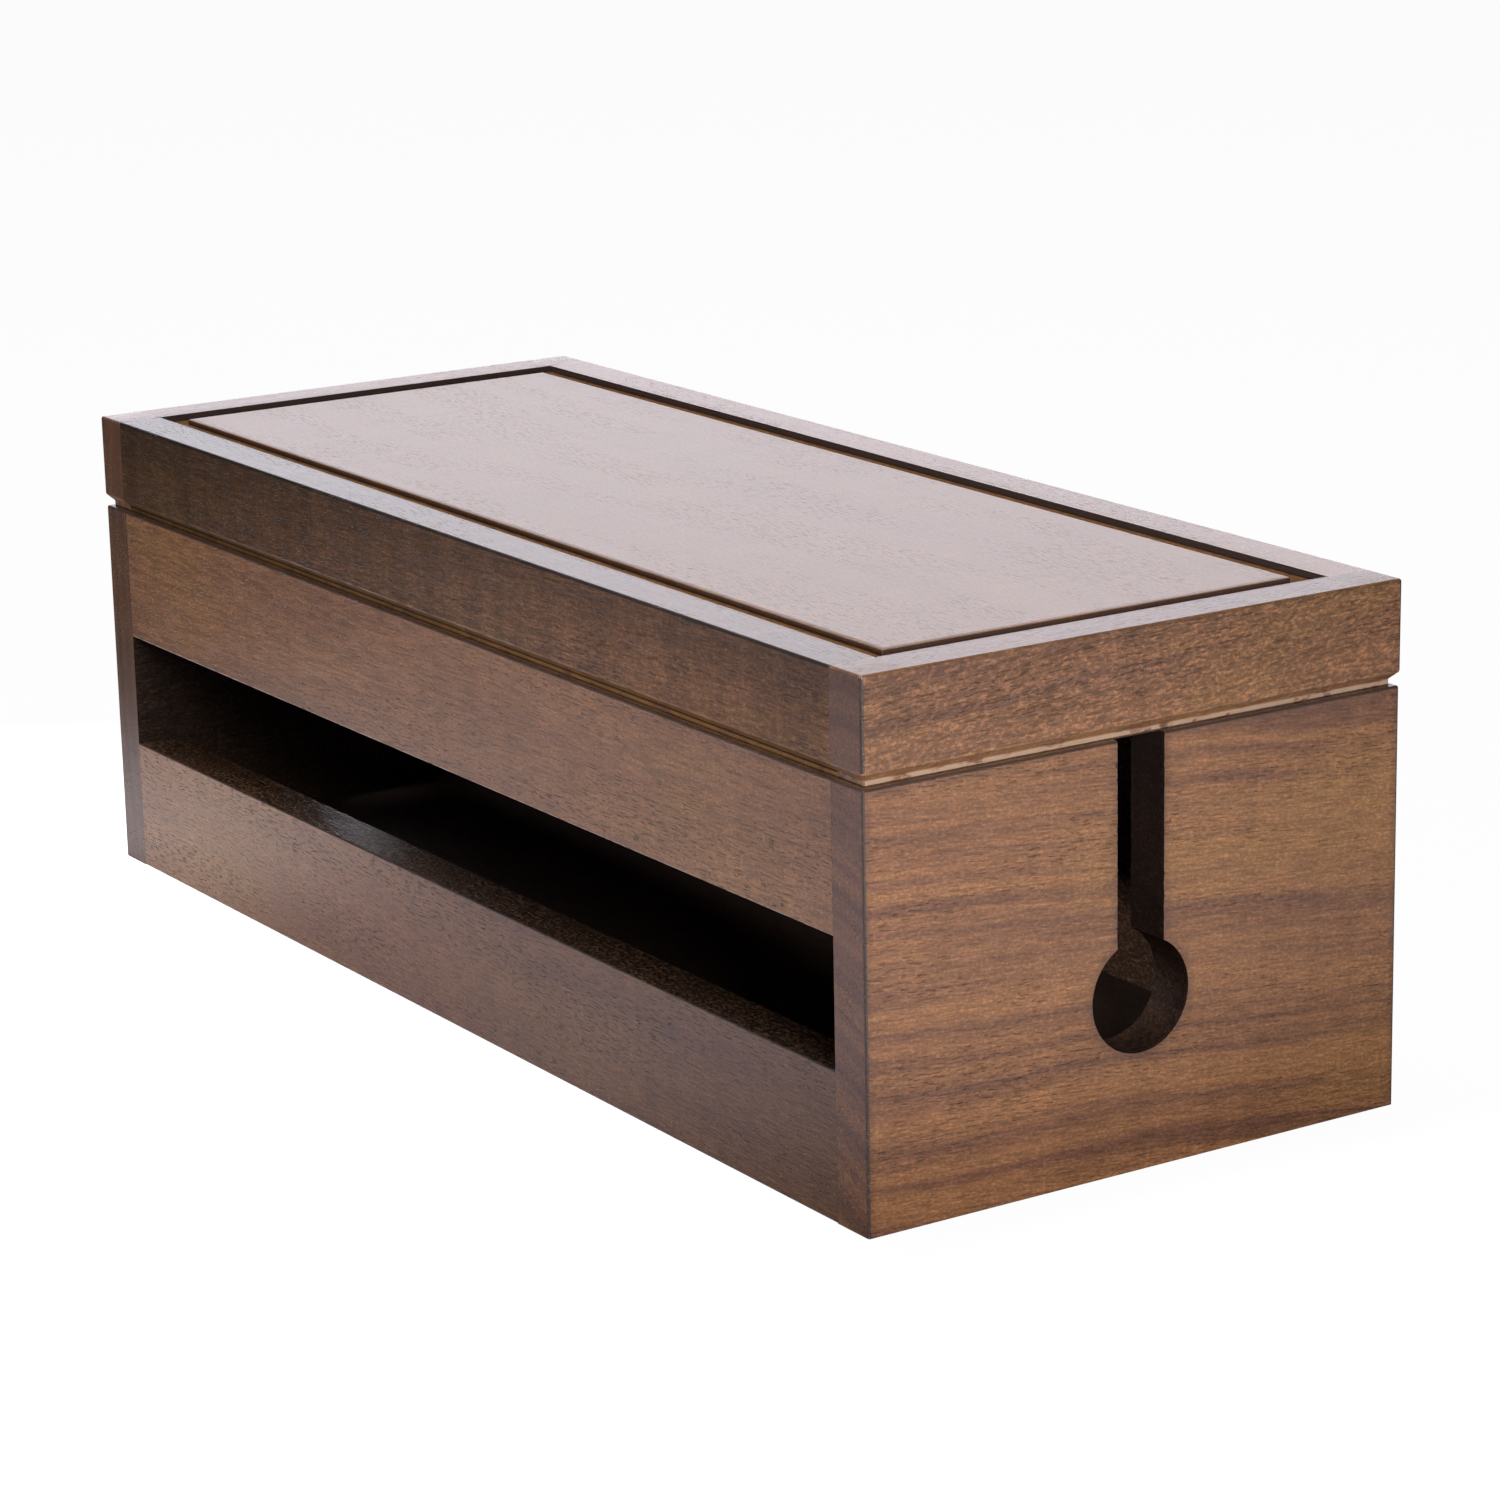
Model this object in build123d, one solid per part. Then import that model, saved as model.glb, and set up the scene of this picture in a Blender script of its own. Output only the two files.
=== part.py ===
from build123d import *
import os

# Cable box for a desk or a shelf. Two end boards, two front rails, a back board and a floor
# make an open body. Two rails, two ends and a raised panel make a lid that lifts off. In both,
# the ends cover the long boards. Millimetres. X runs along the box, Y from the front to the
# back and +Z up. The origin is at the middle of the base.

# --- Driving dimensions -------------------------------------------------------------------
box_length = 400.0
box_depth = 160.0
box_height = 136.0
body_height = 109.0
board_thickness = 13.0

# The two front rails are equally tall, and the cable opening is what they leave between them.
front_rail_height = 38.0

# Keyhole in each end board: a slot from the top edge down to a round eye.
slot_width = 14.0
eye_diameter = 29.0
eye_height = 44.5

# Floor panel, in a groove round the inside of the body.
floor_thickness = 5.0
floor_underside = 6.0

# Every groove is cut this deep, and a panel stops short of the groove's end.
groove_depth = 5.0
groove_end_gap = 0.5

# Lid: it stands a hair proud of the body, and its foot is chamfered in to a narrow neck.
lid_overhang = 0.3
foot_inset = 2.0
neck_height = 1.6

# Lid panel: a raised field inside a sunk channel, just under the rim of the lid.
panel_thickness = 6.9
panel_drop = 0.3
channel_width = 6.3
channel_depth = 2.0

# Battens glued inside the lid drop into the body and keep the lid in place.
batten_length = 340.0
batten_width = 8.0
batten_height = 20.0
batten_reach = 5.0
batten_play = 0.5

# Blind dowels in every corner joint, with a film of glue round them.
dowel_diameter = 6.0
dowel_length = 20.0
dowel_in_end_board = 8.0
bore_end_gap = 0.5
glue_film = 0.05
upper_rail_dowel_heights = (81.0, 99.0)
lower_rail_dowel_heights = (18.0, 30.0)
back_board_dowel_heights = (20.0, 56.0, 94.0)
lid_dowel_height = 119.0

# Softened edges: outside of the body and of the lid, foot of the body, edges of the cable
# openings, and edge of the lid panel's field.
body_arris = 1.0
lid_arris = 1.2
foot_arris = 0.4
opening_arris = 0.4
field_arris = 0.5

# A cutting block reaches this far past what it cuts.
spare = 1.0

# --- Worked out from them -----------------------------------------------------------------
half_length = box_length / 2
half_depth = box_depth / 2
inner_half_length = half_length - board_thickness
inner_half_depth = half_depth - board_thickness
opening_bottom = front_rail_height
opening_top = body_height - front_rail_height

lid_half_length = half_length + lid_overhang
lid_half_depth = half_depth + lid_overhang
lid_inner_half_length = lid_half_length - board_thickness
lid_inner_half_depth = lid_half_depth - board_thickness
chamfer_bottom = body_height + neck_height
chamfer_top = chamfer_bottom + foot_inset

field_top = box_height - panel_drop
tongue_top = box_height - channel_depth
panel_underside = field_top - panel_thickness

dowel_in_rail = dowel_length - dowel_in_end_board
dowel_offset = half_depth - board_thickness / 2
lid_dowel_offset = lid_half_depth - board_thickness / 2
LEFT = -1
RIGHT = 1
FRONT = -1
BACK = 1


def block(x_range, y_range, z_range):
    """A plain block between two places along each axis."""
    size = [high - low for low, high in (x_range, y_range, z_range)]
    middle = [(low + high) / 2 for low, high in (x_range, y_range, z_range)]
    return Pos(*middle) * Box(*size)


def centred(half):
    """The range that reaches the same distance either side of the middle."""
    return (-half, half)


def beyond(side, near, far):
    """The range from near to far, on the left or front (-1) or on the right or back (+1)."""
    return tuple(sorted((side * near, side * far)))


def soften(solid, edges, radius):
    """Round the given edges of a solid."""
    return solid.fillet(radius, edges)


def body_form():
    """Outside of the whole body, with its softened edges, before it is divided into boards."""
    form = block(centred(half_length), centred(half_depth), (0, body_height))
    top_edges = form.faces().sort_by(Axis.Z)[-1].edges()
    form = soften(form, form.edges().filter_by(Axis.Z) + top_edges, body_arris)
    return soften(form, form.faces().sort_by(Axis.Z)[0].edges(), foot_arris)


def lid_form():
    """Outside of the whole lid: upright sides, a chamfered foot and a narrow neck under it."""
    upper = block(centred(lid_half_length), centred(lid_half_depth), (chamfer_top, box_height))
    upper_edges = upper.edges().filter_by(Axis.Z) + upper.faces().sort_by(Axis.Z)[-1].edges()
    upper = soften(upper, upper_edges, lid_arris)
    foot_top = Plane.XY.offset(chamfer_top) * RectangleRounded(
        2 * lid_half_length, 2 * lid_half_depth, lid_arris
    )
    foot_bottom = Plane.XY.offset(chamfer_bottom) * RectangleRounded(
        2 * (lid_half_length - foot_inset), 2 * (lid_half_depth - foot_inset), lid_arris
    )
    foot = loft([foot_bottom, foot_top])
    neck = extrude(foot_bottom, -neck_height)
    return (upper + foot + neck).clean()


def floor_groove():
    """Space that the floor's groove takes out of the boards round it."""
    return block(
        centred(inner_half_length + groove_depth),
        centred(inner_half_depth + groove_depth),
        (floor_underside, floor_underside + floor_thickness),
    )


def panel_groove():
    """Space that the lid panel's groove takes out of the lid boards."""
    return block(
        centred(lid_inner_half_length + groove_depth),
        centred(lid_inner_half_depth + groove_depth),
        (panel_underside, tongue_top),
    )


def rod(side, y, z, diameter, x_near, x_far):
    """A round rod along X, on the left or the right, from x_near to x_far."""
    low, high = beyond(side, x_near, x_far)
    return Pos((low + high) / 2, y, z) * Rot(0, 90, 0) * Cylinder(diameter / 2, high - low)


def dowel_places(side):
    """Side, y and z of each of the body's dowels at one end."""
    front = [(side, -dowel_offset, z) for z in lower_rail_dowel_heights + upper_rail_dowel_heights]
    back = [(side, dowel_offset, z) for z in back_board_dowel_heights]
    return front + back


def lid_dowel_places(side):
    """Side, y and z of each of the lid's dowels at one end."""
    return [(side, y, lid_dowel_height) for y in (-lid_dowel_offset, lid_dowel_offset)]


def dowels(places, joint):
    """The dowels at the given places, across the joint between a long board and an end board."""
    near = joint - dowel_in_rail
    far = joint + dowel_in_end_board
    return Compound([rod(side, y, z, dowel_diameter, near, far) for side, y, z in places])


def bored(board, places, joint):
    """The board with a bore round each dowel, a little longer than the dowel at both ends."""
    bore_diameter = dowel_diameter + 2 * glue_film
    near = joint - dowel_in_rail - bore_end_gap
    far = joint + dowel_in_end_board + bore_end_gap
    for side, y, z in places:
        board = board - rod(side, y, z, bore_diameter, near, far)
    return board


def keyhole(side):
    """Slot and eye through one end board."""
    near = inner_half_length - spare
    far = half_length + spare
    top = body_height + spare
    slot = block(beyond(side, near, far), centred(slot_width / 2), (eye_height, top))
    return slot + rod(side, 0, eye_height, eye_diameter, near, far)


def keyhole_rim(board):
    """The edges that the keyhole has in common with the outer face of an end board."""
    rim = []
    for edge in board.edges():
        deepest = min(abs(corner.X) for corner in edge.vertices())
        widest = max(abs(corner.Y) for corner in edge.vertices())
        if deepest > half_length - 2 * body_arris and widest < eye_diameter / 2:
            rim.append(edge)
    return rim


def end_board(side):
    """End board of the body: it covers the ends of the long boards and has the keyhole."""
    region = block(
        beyond(side, inner_half_length, half_length + spare),
        centred(half_depth + spare),
        (-spare, body_height + spare),
    )
    board = ((body_form() & region) - floor_groove() - keyhole(side)).solid()
    board = soften(board, keyhole_rim(board), opening_arris)
    return bored(board, dowel_places(side), inner_half_length)


def long_board(side, z_range):
    """Front rail or back board of the body, between the end boards."""
    region = block(
        centred(inner_half_length), beyond(side, inner_half_depth, half_depth + spare), z_range
    )
    board = (body_form() & region) - floor_groove()
    return bored(board, dowel_places(LEFT) + dowel_places(RIGHT), inner_half_length)


def outer_front_edges(board, height):
    """The long edge on the front face of a rail at the given height."""
    along = board.edges().filter_by(Axis.X)
    at_front = along.filter_by_position(Axis.Y, -half_depth, -half_depth)
    return at_front.filter_by_position(Axis.Z, height, height)


def lower_front_rail():
    """Rail under the cable opening, with its upper front edge softened."""
    rail = long_board(FRONT, (-spare, opening_bottom)).solid()
    return soften(rail, outer_front_edges(rail, opening_bottom), opening_arris)


def upper_front_rail():
    """Rail over the cable opening, with its lower front edge softened."""
    rail = long_board(FRONT, (opening_top, body_height + spare)).solid()
    return soften(rail, outer_front_edges(rail, opening_top), opening_arris)


def back_board():
    """Back board of the body, the full height."""
    return long_board(BACK, (-spare, body_height + spare))


def floor_panel():
    """Floor of the body, with its edges in the groove."""
    reach = groove_depth - groove_end_gap
    return block(
        centred(inner_half_length + reach),
        centred(inner_half_depth + reach),
        (floor_underside, floor_underside + floor_thickness),
    )


def lid_end(side):
    """Short board of the lid's frame, over the full depth."""
    region = block(
        beyond(side, lid_inner_half_length, lid_half_length + spare),
        centred(lid_half_depth + spare),
        (body_height - spare, box_height + spare),
    )
    board = (lid_form() & region) - panel_groove()
    return bored(board, lid_dowel_places(side), lid_inner_half_length)


def lid_rail(side):
    """Long board of the lid's frame, between the short ones."""
    region = block(
        centred(lid_inner_half_length),
        beyond(side, lid_inner_half_depth, lid_half_depth + spare),
        (body_height - spare, box_height + spare),
    )
    board = (lid_form() & region) - panel_groove()
    return bored(board, lid_dowel_places(LEFT) + lid_dowel_places(RIGHT), lid_inner_half_length)


def lid_panel():
    """Panel of the lid: a raised field, and a tongue round it that sits in the groove."""
    reach = groove_depth - groove_end_gap
    tongue = block(
        centred(lid_inner_half_length + reach),
        centred(lid_inner_half_depth + reach),
        (panel_underside, tongue_top),
    )
    field = block(
        centred(lid_inner_half_length - channel_width),
        centred(lid_inner_half_depth - channel_width),
        (panel_underside, field_top),
    )
    field = soften(field, field.edges().filter_by(Axis.Z), field_arris)
    field = soften(field, field.faces().sort_by(Axis.Z)[-1].edges(), field_arris)
    return tongue + field


def locating_batten(side):
    """Batten on the inside of a lid rail, thinned where it drops into the body."""
    batten_bottom = body_height - batten_reach
    step = body_height + batten_play
    glued = block(
        centred(batten_length / 2),
        beyond(side, lid_inner_half_depth - batten_width, lid_inner_half_depth),
        (step, batten_bottom + batten_height),
    )
    dropped = block(
        centred(batten_length / 2),
        beyond(side, lid_inner_half_depth - batten_width, inner_half_depth - batten_play),
        (batten_bottom, step),
    )
    return glued + dropped


nodes = {
    "left_end_board": end_board(LEFT),
    "right_end_board": end_board(RIGHT),
    "lower_front_rail": lower_front_rail(),
    "upper_front_rail": upper_front_rail(),
    "back_board": back_board(),
    "floor_panel": floor_panel(),
    "left_body_dowels": dowels(dowel_places(LEFT), inner_half_length),
    "right_body_dowels": dowels(dowel_places(RIGHT), inner_half_length),
    "left_lid_end": lid_end(LEFT),
    "right_lid_end": lid_end(RIGHT),
    "front_lid_rail": lid_rail(FRONT),
    "back_lid_rail": lid_rail(BACK),
    "lid_panel": lid_panel(),
    "front_locating_batten": locating_batten(FRONT),
    "back_locating_batten": locating_batten(BACK),
    "left_lid_dowels": dowels(lid_dowel_places(LEFT), lid_inner_half_length),
    "right_lid_dowels": dowels(lid_dowel_places(RIGHT), lid_inner_half_length),
}

os.makedirs("parts", exist_ok=True)
for name, shape in nodes.items():
    export_step(shape, f"parts/{name}.step")
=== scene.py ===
"""Looks of a wooden cable box: a body with a slotted front and keyhole ends, and a framed lid.

Lengths are in metres. X runs along the box, Y from its slotted front to its back and Z up from
the surface that it stands on. Every board is a piece of its own, cut, grooved and softened as a
joiner would do it, and stained along its own grain.
"""

import logging
import math
import random
from collections.abc import Iterable, Sequence
from dataclasses import dataclass, field, replace
from enum import Enum, IntEnum

import bmesh
import bpy
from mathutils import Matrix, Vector


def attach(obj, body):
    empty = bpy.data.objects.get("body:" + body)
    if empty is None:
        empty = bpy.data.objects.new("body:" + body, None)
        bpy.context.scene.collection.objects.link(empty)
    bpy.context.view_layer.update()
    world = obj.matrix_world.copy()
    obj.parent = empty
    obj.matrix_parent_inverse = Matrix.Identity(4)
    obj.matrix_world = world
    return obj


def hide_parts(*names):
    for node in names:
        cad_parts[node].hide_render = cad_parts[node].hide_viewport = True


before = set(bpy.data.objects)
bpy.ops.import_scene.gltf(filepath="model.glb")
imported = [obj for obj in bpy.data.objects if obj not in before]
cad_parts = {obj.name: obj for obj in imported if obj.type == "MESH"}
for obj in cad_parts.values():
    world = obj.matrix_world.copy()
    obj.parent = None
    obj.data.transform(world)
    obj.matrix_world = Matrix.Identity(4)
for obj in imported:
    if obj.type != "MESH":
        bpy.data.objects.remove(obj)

Span = tuple[float, float]
Triple = tuple[float, float, float]
Socket = bpy.types.NodeSocket
Edge = bmesh.types.BMEdge
Facet = bmesh.types.BMFace

MM = 0.001
# Places nearer than this are one place.
NEAR = 0.01 * MM
# How far a rounded corner may pull what it meets off its level.
HAIR = 0.2 * MM
INNER_ARRIS = 0.3 * MM
# Angles in radians from which two faces part: for their shading, and as a bend.
CREASE = math.radians(35.0)
BEND = 0.3
# How directly a face looks some way, as a cosine.
WHOLLY, SQUARELY, MOSTLY, PARTLY, HARDLY = 0.95, 0.9, 0.8, 0.7, 0.3
SAW_SEED = 11
LOG = logging.getLogger("cable_box")


class Axis(IntEnum):
    """The axes of the box."""

    X = 0
    Y = 1
    Z = 2


class Grain(Enum):
    """The way that a board's fibres run."""

    ALONG = (1.0, 0.0, 0.0)
    ACROSS = (0.0, 1.0, 0.0)

    @property
    def direction(self) -> Vector:
        """Direction of the fibres."""
        return Vector(self.value)


class End(IntEnum):
    """The two ends of the box."""

    LEFT = -1
    RIGHT = 1


class Face(IntEnum):
    """The two long sides of the box."""

    FRONT = -1
    BACK = 1


class BodyCoat(IntEnum):
    """Which of a body board's finishes a face has."""

    FACE = 0
    # Faces inside the box and in its openings: matt, and darker as painted shade.
    MATT = 1
    # The lower rail's top: painted shade with painted glints.
    SILL = 2


class LidCoat(IntEnum):
    """Which of a lid frame board's finishes a face has."""

    RIM = 0
    FACE = 1
    FOOT = 2
    # The channel's walls and the bottom of the neck: dark matt, as painted shade.
    MATT = 3


def beyond(sign: int, near: float, far: float) -> Span:
    """The span from near to far on the side of the middle that the sign gives."""
    low, high = sorted((sign * near, sign * far))
    return low, high


def centred(half: float) -> Span:
    """The span that reaches the same distance either side of the middle."""
    return -half, half


def lies_at(item: Edge | Facet, axis: Axis, value: float) -> bool:
    """Whether an edge or a face lies wholly at one coordinate."""
    return all(abs(vert.co[axis] - value) < NEAR for vert in item.verts)


def placed(name: str, data: bpy.types.ID) -> bpy.types.Object:
    """Put something new into the scene, at the origin."""
    thing = bpy.data.objects.new(name, data)
    bpy.context.scene.collection.objects.link(thing)
    return thing


# --- Finishes -------------------------------------------------------------------------------


@dataclass(frozen=True)
class Pattern:
    """Soft noise, stretched along the fibres.

    Attributes:
        cycles: Cycles per metre along each axis.
        detail: Number of finer layers.
        roughness: Share of the finer layers.
        shows: Noise at which the pattern starts to show, and at which it is full.
    """

    cycles: Triple
    detail: float
    roughness: float
    shows: Span = (0.0, 1.0)


@dataclass
class Recipe:
    """The node tree of one material or of the sky, filled with short calls."""

    tree: bpy.types.NodeTree

    @classmethod
    def of(cls, owner: bpy.types.Material | bpy.types.World) -> "Recipe":
        """An empty recipe for a material or for the sky."""
        owner.use_nodes = True
        owner.node_tree.nodes.clear()
        return cls(owner.node_tree)

    def node(
        self, kind: str, inputs: dict[str | int, object], **settings: object
    ) -> bpy.types.Node:
        """Add a node.

        Args:
            kind: Blender's name for this kind of node.
            inputs: What each input takes, a socket or a plain value.
            **settings: The node's own settings.

        Returns:
            The new node.
        """
        node = self.tree.nodes.new(kind)
        for key, value in settings.items():
            setattr(node, key, value)
        for key, value in inputs.items():
            if isinstance(value, Socket):
                self.tree.links.new(value, node.inputs[key])
            else:
                node.inputs[key].default_value = value
        return node

    def place(self) -> Socket:
        """The place on the box."""
        return self.node("ShaderNodeTexCoord", {}).outputs["Object"]

    def split(self, place: Socket) -> Sequence[Socket]:
        """The three coordinates of a place."""
        return self.node("ShaderNodeSeparateXYZ", {0: place}).outputs

    def vector(self, operation: str, first: Socket, *others: Socket | Triple) -> Socket:
        """The vector that one of Blender's operations makes of vectors."""
        inputs = dict(enumerate((first, *others)))
        return self.node("ShaderNodeVectorMath", inputs, operation=operation).outputs[0]

    def measure(self, operation: str, first: Socket, *others: Triple) -> Socket:
        """The number that one of Blender's operations makes of vectors, such as a distance."""
        inputs = dict(enumerate((first, *others)))
        return self.node("ShaderNodeVectorMath", inputs, operation=operation).outputs["Value"]

    def noise_node(
        self, place: Socket, pattern: Pattern, shells: Socket | None = None
    ) -> bpy.types.Node:
        """Soft noise over a place.

        Args:
            place: The place in the pattern.
            pattern: The noise to draw.
            shells: A fourth coordinate, or None for noise over the place alone.

        Returns:
            The noise node, whose noise is mostly from 0.3 to 0.7.
        """
        inputs = {
            "Vector": self.vector("MULTIPLY", place, pattern.cycles),
            "Scale": 1.0,
            "Detail": pattern.detail,
            "Roughness": pattern.roughness,
        }
        if shells is None:
            return self.node("ShaderNodeTexNoise", inputs)
        return self.node("ShaderNodeTexNoise", inputs | {"W": shells}, noise_dimensions="4D")

    def noise(self, place: Socket, pattern: Pattern) -> Socket:
        """The noise of a pattern."""
        return self.noise_node(place, pattern).outputs[0]

    def shown(self, place: Socket, pattern: Pattern, to: Span = (0.0, 1.0)) -> Socket:
        """How strongly a pattern shows, from the first to the second value of a span."""
        return self.window(self.noise(place, pattern), pattern.shows, to)

    def window(self, value: Socket, shows: Span, to: Span = (0.0, 1.0)) -> Socket:
        """Turn the values of one span smoothly into those of another.

        Args:
            value: What is turned.
            shows: Values that give the two ends of the other span.
            to: The other span.

        Returns:
            The turned value.
        """
        ends = zip(("From Min", "From Max", "To Min", "To Max"), (*shows, *to))
        inputs = {"Value": value, **dict(ends)}
        node = self.node("ShaderNodeMapRange", inputs, interpolation_type="SMOOTHSTEP")
        return node.outputs[0]

    def sum(self, first: Socket, second: Socket | float, share: float = 1.0) -> Socket:
        """The first value plus a share of the second."""
        inputs = {0: second, 1: share, 2: first}
        return self.node("ShaderNodeMath", inputs, operation="MULTIPLY_ADD").outputs[0]

    def maths(self, operation: str, first: Socket | float, second: Socket | float) -> Socket:
        """The result of one of Blender's operations on two values."""
        return self.node("ShaderNodeMath", {0: first, 1: second}, operation=operation).outputs[0]

    def product(self, first: Socket, second: Socket | float) -> Socket:
        """The two values multiplied."""
        return self.maths("MULTIPLY", first, second)

    def unsigned(self, value: Socket) -> Socket:
        """The value without its sign."""
        return self.maths("ABSOLUTE", value, 0.0)

    def blend(
        self, share: Socket | float, first: object, second: object, mode: str = "MIX"
    ) -> Socket:
        """Mix two colours.

        Args:
            share: Share of the second colour.
            first: The first colour, a socket or red, green and blue.
            second: The second colour, likewise.
            mode: Blender's name for the way of mixing.

        Returns:
            The mixed colour.
        """
        # This node's colours are its seventh and eighth input.
        inputs = {0: share}
        for key, colour in ((6, first), (7, second)):
            inputs[key] = colour if isinstance(colour, Socket) else (*colour, 1.0)
        return self.node("ShaderNodeMix", inputs, data_type="RGBA", blend_type=mode).outputs[2]

    def toned(self, colour: Socket, tone: Socket | float) -> Socket:
        """A colour made deeper or paler by a tone."""
        node = self.node("ShaderNodeVectorMath", {0: colour, "Scale": tone}, operation="SCALE")
        return node.outputs[0]

    def attribute(self, name: str) -> Socket:
        """A number kept on the piece's own mesh."""
        return self.node("ShaderNodeAttribute", {}, attribute_name=name).outputs["Fac"]


@dataclass(frozen=True)
class PaintedShade:
    """Painted light and shade: a board's colour made slowly paler or deeper across it, where more
    or less light falls on it.

    Attributes:
        axis: Axis of the box that the painted shade changes along.
        span: The two places between which it changes.
        tones: The painted tone at those places, 1 for the finish's own tone.
    """

    axis: Axis
    span: Span
    tones: Span


@dataclass(frozen=True)
class Outline:
    """Edges of an end board's outer face, near which the stain has gathered.

    Attributes:
        slot: Half of the width of the keyhole's slot.
        eye: Radius of its eye.
        eye_height: Height of the eye's middle.
        half_depth: Distance of the upright edges from the middle.
        height: Height of the top edge.
        half: Distance of the outer face from the middle of the box.
        reach: How far from an edge the stain is deeper.
        skin: How far below the outer face it ends, and up to where it is full.
        share: How much of the gathered stain there is at an edge.
    """

    slot: float
    eye: float
    eye_height: float
    half_depth: float
    height: float
    half: float
    reach: float = 3.0 * MM
    skin: Span = (1.5 * MM, 0.3 * MM)
    share: float = 0.35

    def gathered(self, recipe: Recipe, place: Socket) -> Socket:
        """How much of the gathered stain there is at a place.

        Args:
            recipe: The node tree that is being filled.
            place: The place on the board.

        Returns:
            The full share at an edge, falling to 0 away from it.
        """
        x, y, z = recipe.split(place)
        aside = recipe.unsigned(y)
        slot = recipe.maths(
            "MAXIMUM",
            recipe.maths("SUBTRACT", aside, self.slot),
            recipe.maths("SUBTRACT", self.eye_height, z),
        )
        spoke = recipe.node("ShaderNodeCombineXYZ", {1: y, 2: z}).outputs[0]
        from_eye = recipe.measure("DISTANCE", spoke, (0.0, 0.0, self.eye_height))
        eye = recipe.maths("SUBTRACT", from_eye, self.eye)
        side = recipe.maths("SUBTRACT", self.half_depth, aside)
        top = recipe.maths("SUBTRACT", self.height, z)
        nearest = slot
        for other in (eye, side, top):
            nearest = recipe.maths("MINIMUM", nearest, other)
        skin = self.half - self.skin[0], self.half - self.skin[1]
        on_face = recipe.window(recipe.unsigned(x), skin)
        near = recipe.window(nearest, (0.0, self.reach), (1.0, 0.0))
        return recipe.product(recipe.product(near, on_face), self.share)


@dataclass(frozen=True)
class Cut:
    """Where in its log a board was cut, and how deep the stain took on it.

    Attributes:
        grain: The way that the fibres run.
        log: Place of the board in the log's pattern, off the heart.
        tilt: How far the fibres climb along an upright board, in degrees.
        swing: How far they turn away from it seen from above, in degrees.
        tone: Depth of the stain, 1 for the finish's own tone.
        figure: How strongly the growth bands show.
        curl: How strongly soft ripples across the fibres show.
        painted_shades: Light and shade painted across the board, slowly paler or deeper.
        outline: What the stain has gathered round, if anything.
    """

    grain: Grain
    log: Triple
    tilt: float = 0.0
    swing: float = 0.0
    tone: float = 1.0
    figure: float = 0.45
    curl: float = 0.06
    painted_shades: tuple[PaintedShade, ...] = ()
    outline: Outline | None = None

    @property
    def turn(self) -> Triple:
        """Turn about the three axes that lays the fibres along the pattern's first axis."""
        tilt, swing = math.radians(self.tilt), math.radians(self.swing)
        if self.grain is Grain.ALONG:
            return 0.0, tilt, swing
        return -tilt, 0.0, swing - math.pi / 2

    def tinted(self, recipe: Recipe, box_place: Socket, place: Socket, colour: Socket) -> Socket:
        """Give a stained colour this board's own tone and ripples, and the light and shade painted
        across it.

        Args:
            recipe: The node tree that is being filled.
            box_place: The place on the box.
            place: The place in the log.
            colour: The stained colour.

        Returns:
            The board's colour.
        """
        ripples = recipe.shown(place, RIPPLES, (1 - self.curl, 1 + self.curl))
        colour = recipe.toned(colour, recipe.product(ripples, self.tone))
        coordinates = recipe.split(box_place)
        # Painted light and shade: the colour made paler or deeper across the board.
        for painted_shade in self.painted_shades:
            tone = recipe.window(coordinates[painted_shade.axis], painted_shade.span, painted_shade.tones)
            colour = recipe.toned(colour, tone)
        return colour


WAVES = Pattern((9.0, 12.0, 12.0), 2.0, 0.5)
BANDS = Pattern((4.0, 0.0, 0.0), 3.5, 0.6, (0.62, 0.36))
FIBRES = Pattern((120.0, 1250.0, 1250.0), 3.0, 0.7, (0.25, 0.75))
GOLDEN_PATCHES = Pattern((9.0, 26.0, 26.0), 3.0, 0.55, (0.5, 0.68))
PORE_CLUSTERS = Pattern((14.0, 70.0, 70.0), 2.0, 0.5, (0.42, 0.6))
PORES = Pattern((260.0, 2300.0, 2300.0), 1.0, 0.4, (0.58, 0.7))
# Fine specks of the wood, whose pale ones are partly painted glints in the pores.
SPECKS_AND_GLINTS = Pattern((800.0, 1400.0, 1400.0), 2.0, 0.7, (0.42, 0.72))
RUBBED_STREAKS = Pattern((160.0, 300.0, 300.0), 3.0, 0.6, (0.35, 0.62))
RIPPLES = Pattern((130.0, 14.0, 14.0), 3.0, 0.6, (0.3, 0.7))
PLANED_WAVES = Pattern((60.0, 110.0, 110.0), 2.0, 0.5)
BEECH_FIBRES = Pattern((90.0, 1400.0, 1400.0), 3.0, 0.6, (0.4, 0.75))
BEECH_FLECKS = Pattern((320.0, 900.0, 900.0), 1.0, 0.5, (0.58, 0.7))
ROUGH_FIBRES = (0.3, 0.7)


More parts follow.
